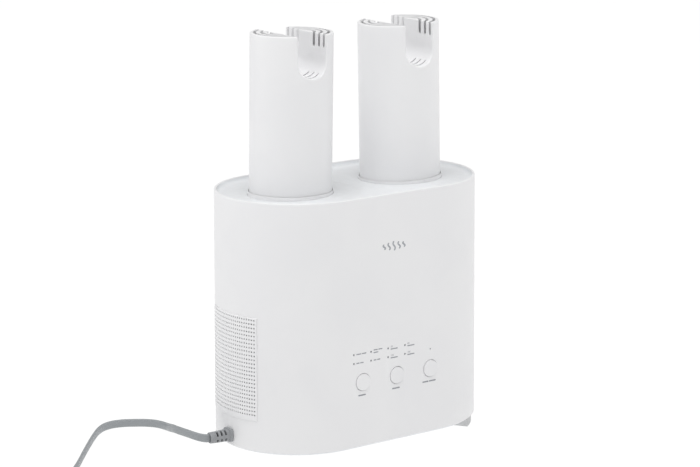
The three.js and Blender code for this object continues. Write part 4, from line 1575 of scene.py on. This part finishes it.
@dataclass
class Controls:
    """The buttons, indicator lights and printed marks on the front. In millimetres.

    Each of buttons is a name, its x and its label's length, and each of emblem_waves is an x
    and a height.
    """

    housing: Housing
    button_radius: float = 7.4
    button_gap: float = 0.4
    light_radius: float = 0.8
    power_light_radius: float = 0.6
    label_shift: float = -1.3
    ink: float = 0.05
    label_drop: float = 11.4
    dash_gap: float = 0.55
    digit_size: float = 2.3
    emblem_place: tuple[float, float] = (-1.7, 183.0)
    emblem_waves: tuple[tuple[float, float], ...] = (
        (-10.6, 4.6), (-5.4, 6.4), (0.0, 8.4), (5.4, 6.4), (10.6, 4.6))
    buttons: tuple[tuple[str, float, float], ...] = (
        ("mode", -35.4, 8.0), ("timer", 1.4, 8.4), ("power", 38.2, 15.0))
    light_columns: Numbers = (-45.3, -26.8, -8.3, 10.1)
    light_rows: tuple[float, float] = (84.7, 92.6)

    def __post_init__(self) -> None:
        """Reads where the buttons are from the frame."""
        low, high = (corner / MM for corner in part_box("button_mode"))
        self.button_height: float = (low.z + high.z) / 2
        low, high = (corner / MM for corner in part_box("light_pipe_power"))
        self.power_light: tuple[float, float] = ((low.x + high.x) / 2, (low.z + high.z) / 2)

    def build(self, dresser: Dresser) -> None:
        """Builds and dresses the buttons, the light pipes and the printed marks.

        Args:
            dresser: What gives the pieces their finish and body.
        """
        for name, x, _ in self.buttons:
            node = f"button_{name}"
            dresser.dress(self.button(node, x), Finish.BUTTON, body=node,
                          replaces=[node])
        for node in ("light_pipe_timer", "light_pipe_power"):
            dresser.dress(self.light_pipe(node), Finish.PIPE,
                          replaces=[node])
        for piece in self.marks():
            dresser.dress(piece, Finish.INK)
        dresser.dress(self.emblem(), Finish.INK_PALE)
        dresser.repaint(Finish.BOARD, "control_board")

    def panel_axes(self) -> Array:
        """The front skin's frame: x along it, y up its slope, and z straight out of it.

        Returns:
            The three directions, one in each row.
        """
        slope = math.atan2(self.housing.flare, self.housing.rim - self.housing.bottom)
        up = (0, math.sin(slope), math.cos(slope))
        out = (0, -math.cos(slope), math.sin(slope))
        return np.array([(1, 0, 0), up, out])

    def on_panel(self, shape: Surface, x: float, z: float) -> Surface:
        """Puts a shape made on the xy plane on the front skin, with its z pointing out.

        Args:
            shape: The shape.
            x: Where its origin goes along the skin.
            z: How high its origin goes.

        Returns:
            The shape in its place.
        """
        y = -(self.housing.radius + float(self.housing.flare_at(np.array(z))))
        return shape.placed(self.panel_axes(), (x, y, z))

    def light_places(self) -> list[tuple[float, float, float]]:
        """Where the nine lights are, as x and z, and the radius of each."""
        timer = [(x, z, self.light_radius) for x in self.light_columns
                 for z in self.light_rows]
        return [*timer, (*self.power_light, self.power_light_radius)]

    def openings(self) -> list[Surface]:
        """The holes in the casing. A button's opens at its mouth in a quarter circle.

        Returns:
            A cutter for each button and light.
        """
        mouth = 0.2
        angle = np.linspace(0, QUARTER, 5)
        radius = self.button_radius + self.button_gap
        lip = [(radius + mouth * (1 - math.cos(a)), -mouth + mouth * math.sin(a))
               for a in angle]
        profile = [(0, -12), (radius, -12), *lip, (radius + mouth, 3), (0, 3)]
        holes = [self.on_panel(turned(profile, 96), x, self.button_height)
                 for _, x, _ in self.buttons]
        for x, z, light in self.light_places():
            small = light + 0.12
            pit = turned([(0, -8), (small, -8), (small, 3), (0, 3)], 20)
            holes.append(self.on_panel(pit, x, z))
        return holes

    def button(self, node: str, x: float) -> Piece:
        """A push button: a faintly dished face, a bevel, a skirt, a flange and a stem.

        Args:
            node: The frame's button, which gives its depth.
            x: Where it is along the panel.

        Returns:
            The button.
        """
        low, high = (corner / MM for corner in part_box(node))
        depth = high.y - low.y
        r = self.button_radius
        dish = [(r * share, 0.75 + 0.1 * share ** 2) for share in (0, 0.2, 0.4, 0.6, 0.8)]
        profile = [*dish, (r - 0.7, 0.86), (r - 0.35, 0.82), (r - 0.1, 0.66),
                   (r, 0.4), (r, -0.4), (r, -3.0), (r + 1.6, -3.0), (r + 1.6, -4.2),
                   (2.5, -4.2), (2.5, -depth), (0, -depth)]
        shape = self.on_panel(turned(profile, 96), x, self.button_height)
        return shape.build(f"{node}_cap", 30.0)

    def light_pipe(self, node: str) -> Piece:
        """Domed pins that fill the light holes, on a bar behind the casing.

        Args:
            node: The frame's light pipe, whose box tells which holes it fills.

        Returns:
            The light pipe.
        """
        low, high = (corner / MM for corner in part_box(node))
        pin = np.array([(0, -0.05), (0.5, -0.08), (0.85, -0.2), (1, -0.4), (1, -4.6),
                        (0, -4.6)])
        pins = [self.on_panel(turned(pin * (r, 1), 20), x, z)
                for x, z, r in self.light_places()
                if low.x < x < high.x and low.z < z < high.z]
        rail = bar((low.x, high.y - 1.6, low.z), (high.x, high.y, high.z), 0.5)
        return Surface.joined([rail, *pins]).build(f"{node}_lens", 40.0)

    def stroke(self, centre: Array, width: float) -> Surface:
        """A printed line: a thin flat ribbon with round ends along a flat path.

        Where the nearer end is e half-widths away, its width is width * sqrt(1 - (1 - e)^2),
        and past e = 1 it is the whole width.

        Args:
            centre: The line's points on the panel, one in each row.
            width: The line's width.

        Returns:
            The closed ribbon, on the xy plane and as thick as the ink.
        """
        ahead = np.gradient(centre, axis=0)
        ahead /= np.linalg.norm(ahead, axis=1, keepdims=True)
        aside = np.stack([-ahead[:, 1], ahead[:, 0]], axis=-1)
        length = np.concatenate([[0], np.cumsum(np.linalg.norm(np.diff(centre, axis=0),
                                                               axis=1))])
        end = np.minimum(length, length[-1] - length) / (width / 2)
        half = width / 2 * np.sqrt(np.clip(1 - (1 - np.minimum(end, 1)) ** 2, 0, 1))
        corner = np.array([(-1, -0.03), (1, -0.03), (1, self.ink), (-1, self.ink)])
        flat = centre[:, None, :] + aside[:, None, :] * (half[:, None] * corner[:, 0])[..., None]
        height = np.broadcast_to(corner[None, :, 1:], flat.shape[:2] + (1,))
        return Surface.grid(np.concatenate([flat, height], axis=2), loop_columns=True)

    def dash(self, x: float, z: float, length: float, width: float) -> Surface:
        """A straight printed line.

        Args:
            x: Where it starts.
            z: How high it is.
            length: How far it goes to the right.
            width: Its width.

        Returns:
            The line, on the xy plane.
        """
        ease = np.concatenate([np.linspace(0, 1, 6) ** 2 * width / 2,
                               length - np.linspace(1, 0, 6) ** 2 * width / 2])
        return self.stroke(np.stack([x + ease, np.full_like(ease, z)], axis=-1), width)

    def words(self, x: float, z: float, lengths: Sequence[float],
              width: float = 0.95) -> list[Surface]:
        """Dashes side by side, which stand for a word.

        Args:
            x: Where the first one starts.
            z: How high they are.
            lengths: Their lengths.
            width: Their width.

        Returns:
            The dashes.
        """
        starts = x + np.cumsum([0.0, *[length + self.dash_gap for length in lengths[:-1]]])
        return [self.dash(start, z, length, width)
                for start, length in zip(starts, lengths)]

    def marks(self) -> list[Piece]:
        """The printed marks: dashes by the lights and buttons, and the timer's minutes.

        Returns:
            The pieces.
        """
        x1, x2, x3, x4 = (column + 2.6 for column in self.light_columns)
        low, high = self.light_rows
        beside = [*self.words(x1, high, (5.2, 5.0)), *self.words(x1, low, (3.4, 3.8)),
                  *self.words(x2, high + 1.1, (4.6, 4.4)), *self.words(x2, high - 1.2, (5.2,)),
                  *self.words(x2, low, (3.2, 3.6))]
        for x in (x3, x4):
            beside += [*self.words(x, high - 1.1, (7.8,)), *self.words(x, low - 1.1, (7.8,))]
        under = [stroke for _, x, length in self.buttons
                 for stroke in self.words(x + self.label_shift - length / 2,
                                          self.button_height - self.label_drop,
                                          self.split(length), 1.25)]
        pieces = [self.printed("light_marks", beside), self.printed("button_marks", under)]
        minutes = [("30", x3, high), ("60", x4, high), ("120", x3, low), ("180", x4, low)]
        for text, x, z in minutes:
            pieces.append(self.number(text, x, z + 0.35))
        return pieces

    @staticmethod
    def split(length: float) -> tuple[float, ...]:
        """Shares a label's length between one dash, or two where it is long."""
        return (length,) if length < 12 else (length * 0.45, length * 0.5)

    def printed(self, name: str, strokes: Sequence[Surface]) -> Piece:
        """Puts strokes on the panel as one piece.

        Args:
            name: The piece's name.
            strokes: The strokes, placed by x and z.

        Returns:
            The piece.
        """
        flat = Surface.joined(strokes)
        middle = self.button_height
        shifted = Surface(flat.points - (0, middle, 0), flat.faces)
        return self.on_panel(shifted, 0, middle).build(name, 40.0)

    def number(self, text: str, x: float, z: float) -> Piece:
        """A printed number, from the built-in plain letters, as a mesh on the panel.

        Args:
            text: Its figures.
            x: Where it starts.
            z: How high its foot is.

        Returns:
            The number.
        """
        curve = bpy.data.curves.new("digits", "FONT")
        curve.body = text
        curve.size = self.digit_size * MM
        curve.extrude = self.ink / 2 * MM
        curve.resolution_u = 3
        drawn = link_object("digits", curve)
        mesh = bpy.data.meshes.new_from_object(
            drawn.evaluated_get(bpy.context.evaluated_depsgraph_get()))
        bpy.data.objects.remove(drawn)
        carry(mesh, lambda flat: self.on_panel(flat, x, z))
        mesh.name = f"minutes_{text}"
        shade(mesh, 30.0)
        return link_object(mesh.name, mesh)

    def emblem(self) -> Piece:
        """A plain warm-air emblem: upright waves x + 1.15 sin(2 pi t), the middle ones taller.

        Returns:
            The emblem.
        """
        t = np.linspace(0, 1, 28)
        sway = 1.15 * np.sin(2 * np.pi * t)
        waves = [self.stroke(np.stack([x + sway, (t - 0.5) * tall], axis=-1), 1.5)
                 for x, tall in self.emblem_waves]
        return self.on_panel(Surface.joined(waves), *self.emblem_place).build(
            "warm_air_emblem", 40.0)


# ------------------------------------------------------------------ tubes

@dataclass
class AirTube:
    """One telescopic air tube with its sleeve. Lengths are in millimetres.

    The tube is made upright and then leans about the tray's height towards the other tube.
    """

    side: str
    spacing: float = 119.4
    half_x: float = 37.2
    half_y: float = 33.4
    top: float = 365.0
    bottom: float = 198.0
    wall: float = 2.0
    lean: float = 1.0
    channel_half: float = 14.7
    channel_bottom: float = 328.0
    lip: float = 2.7
    slot_insets: Numbers = (4.1, 10.25, 16.4)
    slot_width: float = 2.5
    slot_foot: float = 353.5
    floor_rows: Numbers = (-26.4, -19.3, -12.2, 12.2, 19.3, 26.4)
    floor_width: float = 1.6
    floor_slot_half: float = 10.2

    def __post_init__(self) -> None:
        """Notes which way the tube leans, and the tray's height."""
        self.sign: int = -1 if self.side == "left" else 1
        self.pivot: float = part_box("top_tray")[1].z / MM

    def build(self, dresser: Dresser) -> None:
        """Builds and dresses the tube and its sleeve, and repaints the friction band.

        Args:
            dresser: What gives the pieces their finish and body.
        """
        node = f"tube_{self.side}"
        dresser.dress(self.tube(), Finish.SHELL, body=node,
                      replaces=[node])
        sleeve = f"guide_sleeve_{self.side}"
        dresser.dress(self.sleeve(), Finish.SHELL, replaces=[sleeve])
        dresser.repaint(Finish.FELT, f"friction_band_{self.side}")

    def leaned(self, shape: Surface) -> Surface:
        """Leans an upright shape about the tray's height, and stands it in its place.

        Args:
            shape: The shape, upright round the z axis.

        Returns:
            The shape as the tube stands.
        """
        lean = -self.sign * math.radians(self.lean)
        axes = [(math.cos(lean), 0, -math.sin(lean)), (0, 1, 0),
                (math.sin(lean), 0, math.cos(lean))]
        low = Surface(shape.points - (0, 0, self.pivot), shape.faces)
        return low.placed(axes, (self.sign * self.spacing / 2, 0, self.pivot))

    def crest(self, half: float, top: float, channel: float,
              soft: float) -> tuple[Array, Array, Array]:
        """The tube's top as seen from the front: flat, with the U of the channel in it.

        Args:
            half: Half the tube's width.
            top: The height of the flat parts.
            channel: Half the channel's width, which is the radius of its floor.
            soft: The radius of the corners between the flat parts and the channel.

        Returns:
            The x of each point, its z, and the unit normals as x and z.
        """
        floor_centre = self.channel_bottom + self.channel_half
        ease = np.linspace(0, math.acos((channel + soft) / half), 26, endpoint=False)
        flat = np.stack([-half * np.cos(ease), np.full_like(ease, top)], axis=-1)
        bend = np.linspace(QUARTER, 0, 6)
        out = np.stack([np.cos(bend), np.sin(bend)], axis=-1)
        corner = np.array([-channel - soft, top - soft]) + soft * out
        fall = np.linspace(top - soft, floor_centre, 8)[1:-1]
        side = np.stack([np.full_like(fall, -channel), fall], axis=-1)
        sweep = np.linspace(np.pi, 1.5 * np.pi, 15)
        ring = np.stack([np.cos(sweep), np.sin(sweep)], axis=-1)
        floor = np.array([0, floor_centre]) + channel * ring
        half_way = np.concatenate([flat, corner, side, floor])
        normal = np.concatenate([np.tile([0.0, 1.0], (len(flat), 1)), out,
                                 np.tile([1.0, 0.0], (len(side), 1)), -ring])
        mirrored = half_way[-2::-1] * (-1, 1)
        place = np.concatenate([half_way, mirrored])
        facing = np.concatenate([normal, normal[-2::-1] * (-1, 1)])
        return place[:, 0], place[:, 1], facing

    def skin(self, half_x: float, half_y: float, top: float, channel: float, soft: float,
             foot: Sequence[tuple[float, float]]) -> Array:
        """One skin of the tube, as a grid from its front foot over the top to its back foot.

        The wall is the oval x = -half_x cos a, y = half_y sin a. Each column goes straight up
        the wall and then eases over to where the crest leaves the wall. There the edge is
        rounded: with wall normal n1 and crest normal n2, the rounding's centre is
        E - soft (n1 + n2) / (1 + n1.n2), and its points turn from n1 to n2 about it. The
        crest is ruled straight across from the front edge to the back one.

        Args:
            half_x: The oval's half width.
            half_y: The oval's half depth.
            top: The height of the top's flat parts.
            channel: Half the channel's width.
            soft: The radius of the top's edges.
            foot: The wall's lowest points, as a distance out from the oval and a height.

        Returns:
            An array of columns by rows by 3.
        """
        x, z, facing = self.crest(half_x, top, channel, soft)
        even = np.linspace(0, np.pi, len(x))
        arrive = np.arccos(np.clip(-x / half_x, -1, 1))
        rows = []
        for out, height in foot:
            rows.append(np.stack([-(half_x + out) * np.cos(even), -(half_y + out)
                                  * np.sin(even), np.full_like(even, height)], axis=-1))
        edge = np.stack([x, -half_y * np.sin(arrive), z], axis=-1)
        wall_out = np.stack([x / half_x ** 2, edge[:, 1] / half_y ** 2, np.zeros_like(x)],
                            axis=-1)
        wall_out /= np.linalg.norm(wall_out, axis=1, keepdims=True)
        crest_out = np.stack([facing[:, 0], np.zeros_like(x), facing[:, 1]], axis=-1)
        together = np.sum(wall_out * crest_out, axis=1, keepdims=True)
        centre = edge - soft * (wall_out + crest_out) / (1 + together)
        last = foot[-1][1]
        reach = centre + soft * wall_out
        touch = np.arctan2(-reach[:, 1] / half_y, -reach[:, 0] / half_x)
        for share in np.linspace(0, 1, 9)[1:]:
            turn = even + (touch - even) * share
            rows.append(np.stack([-half_x * np.cos(turn), -half_y * np.sin(turn),
                                  last + (reach[:, 2] - last) * share], axis=-1))
        angle = np.arccos(np.clip(together, -1, 1))
        for share in np.linspace(0, 1, 6)[1:]:
            turned_out = (np.sin((1 - share) * angle) * wall_out
                          + np.sin(share * angle) * crest_out) / np.sin(angle)
            rows.append(centre + soft * turned_out)
        front = np.stack(rows, axis=1)
        back = front[:, ::-1] * (1, -1, 1)
        spans = np.linspace(0, 1, 10)[1:-1, None]
        ruled = front[:, -1:, :] * (1 - spans) + back[:, :1, :] * spans
        return np.concatenate([front, ruled, back], axis=1)

    def tube(self) -> Piece:
        """The tube: an outer and an inner skin joined at the foot, with its air slots cut."""
        foot = [(1.2, self.bottom), (1.2, self.bottom + 2.6), (0.8, self.bottom + 3.0),
                (0.0, self.bottom + 3.0), (0.0, 230.0), (0.0, 262.0), (0.0, 292.0),
                (0.0, 318.0)]
        outer = self.skin(self.half_x, self.half_y, self.top, self.channel_half, 1.0, foot)
        inner_foot = [(0.0, height) for _, height in foot]
        inner = self.skin(self.half_x - self.wall, self.half_y - self.wall,
                          self.top - self.wall, self.channel_half + self.wall, 0.3,
                          inner_foot)
        front = np.stack([outer[:, 0], inner[:, 0]], axis=1)
        back = np.stack([outer[:, -1], inner[:, -1]], axis=1)
        shell = Surface.joined([Surface.grid(part) for part in (outer, inner, front, back)])
        piece = shell.build(f"air_tube_{self.side}")
        cut_away(piece, self.top_slots())
        cut_away(piece, self.wall_slots())
        carry(piece.data, self.leaned)
        return piece

    def top_slots(self) -> list[Surface]:
        """Cutters for the slots through the top: rings parallel to the wall.

        A ring at inset d is the rectangle of the slot's width carried round the oval
        ((half_x - d) cos a, (half_y - d) sin a).
        """
        half = self.slot_width / 2
        low, high = self.top - self.wall - 0.8, self.top + 2
        profile = np.array([(-half, low), (half, low), (half, high), (-half, high)])
        return [around(self.oval_rail(inset, 120), profile) for inset in self.slot_insets]

    def wall_slots(self) -> list[Surface]:
        """Cutters for the slots' ends down the channel's walls, and for the floor's slots.

        Each follows the same oval as its ring, from just inside the channel to just behind
        its wall, and has a rounded foot.
        """
        half = self.slot_width / 2
        high = self.top + 3
        section = softened([(-half, self.slot_foot), (half, self.slot_foot), (half, high),
                            (-half, high)], (half * 0.98, half * 0.98, 0.1, 0.1), 7)
        cutters = []
        for inset in self.slot_insets:
            half_x, half_y = self.half_x - inset, self.half_y - inset
            near, far = (math.acos((self.channel_half + reach) / half_x)
                         for reach in (-0.9, self.wall + 0.9))
            for start, end in ((near, far), (-near, -far), (np.pi - near, np.pi - far),
                               (np.pi + near, np.pi + far)):
                turn = np.linspace(start, end, 6)[[0, *range(6), 5]]
                centre = np.stack([half_x * np.cos(turn), half_y * np.sin(turn),
                                   np.zeros_like(turn)], axis=-1)
                across = centre * (1 / half_x ** 2, 1 / half_y ** 2, 0)
                across /= np.linalg.norm(across, axis=1, keepdims=True)
                size = np.array([0.0, *np.ones(6), 0.0])
                middle = (self.slot_foot + high) / 2
                shifted = section - (0, middle)
                upward = np.broadcast_to([0.0, 0.0, 1.0], centre.shape)
                cutters.append(swept(centre + (0, 0, middle), across, upward, shifted, size))
        half, reach = self.floor_width / 2, self.floor_slot_half
        for y in self.floor_rows:
            cutters.append(bar((-reach, y - half, self.channel_bottom - 6),
                               (reach, y + half, self.channel_bottom + 8), half * 0.98, 6))
        return cutters

    def oval_rail(self, inset: float, steps: int) -> tuple[Array, Array]:
        """The oval ((half_x - d) cos a, (half_y - d) sin a) inside the tube's wall.

        Args:
            inset: How far inside, d.
            steps: How many points go round.

        Returns:
            Its points, and its outward unit normals.
        """
        turn = np.linspace(0, 2 * np.pi, steps, endpoint=False)
        half_x, half_y = self.half_x - inset, self.half_y - inset
        foot = np.stack([half_x * np.cos(turn), half_y * np.sin(turn)], axis=-1)
        normal = np.stack([np.cos(turn) * half_y, np.sin(turn) * half_x], axis=-1)
        return foot, normal / np.linalg.norm(normal, axis=1, keepdims=True)

    def sleeve(self) -> Piece:
        """The guide sleeve: a stepped profile carried round the tube, with a rounded lip."""
        lip = self.pivot + self.lip
        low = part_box(f"guide_sleeve_{self.side}")[0].z / MM + 1.4
        under = self.pivot - 4.1
        corners = [(0.8, 210), (0.8, lip), (1.3, lip), (1.3, under), (5, under), (5, 217),
                   (3.6, 217), (3.6, low), (2, low), (2, 210)]
        soft = (0.3, 0.1, 0.25, 0.1, 0.4, 0.4, 0.2, 0.4, 0.4, 0.3)
        profile = divided(softened(corners, soft, 5), 30.0)
        ring = around(self.oval_rail(0.0, 180), profile)
        piece = self.leaned(ring).build(f"sleeve_{self.side}")
        if self.side == "right":
            x = self.sign * self.spacing / 2
            notch = bar((x - 1.3, -self.half_y - 2.2, lip - 2.0),
                        (x + 1.3, -self.half_y - 0.9, lip - 0.9), 0.3)
            cut_away(piece, [notch])
        return piece


# ------------------------------------------------------------------ assembly

@dataclass
class AirPath:
    """The blower, heater and ducts inside the casing, which keep their frame meshes."""

    plastic: tuple[str, ...] = ("air_manifold", "blower_housing", "blower_impeller",
                                "terminal_block")
    sheet: tuple[str, ...] = ("heater_duct", "heating_element")
    steel: tuple[str, ...] = ("blower_motor", "thermal_cutout")

    def build(self, dresser: Dresser) -> None:
        """Repaints the inner parts.

        Args:
            dresser: What gives them their finish.
        """
        dresser.repaint(Finish.DARK, *self.plastic)
        dresser.repaint(Finish.ALUMINIUM, *self.sheet)
        dresser.repaint(Finish.STEEL, *self.steel)


def main() -> None:
    """Builds the camera and the lead first, and then the rest of the dryer."""
    logging.basicConfig(level=logging.INFO, format="%(message)s")
    Studio().build()
    dresser = Dresser()
    MainsLead().build(dresser)
    housing = Housing()
    controls = Controls(housing)
    grille = IntakeGrille(housing)
    housing.build(dresser, controls, grille)
    grille.build(dresser)
    controls.build(dresser)
    for side in ("left", "right"):
        AirTube(side).build(dresser)
    AirPath().build(dresser)


if __name__ == "__main__":
    main()
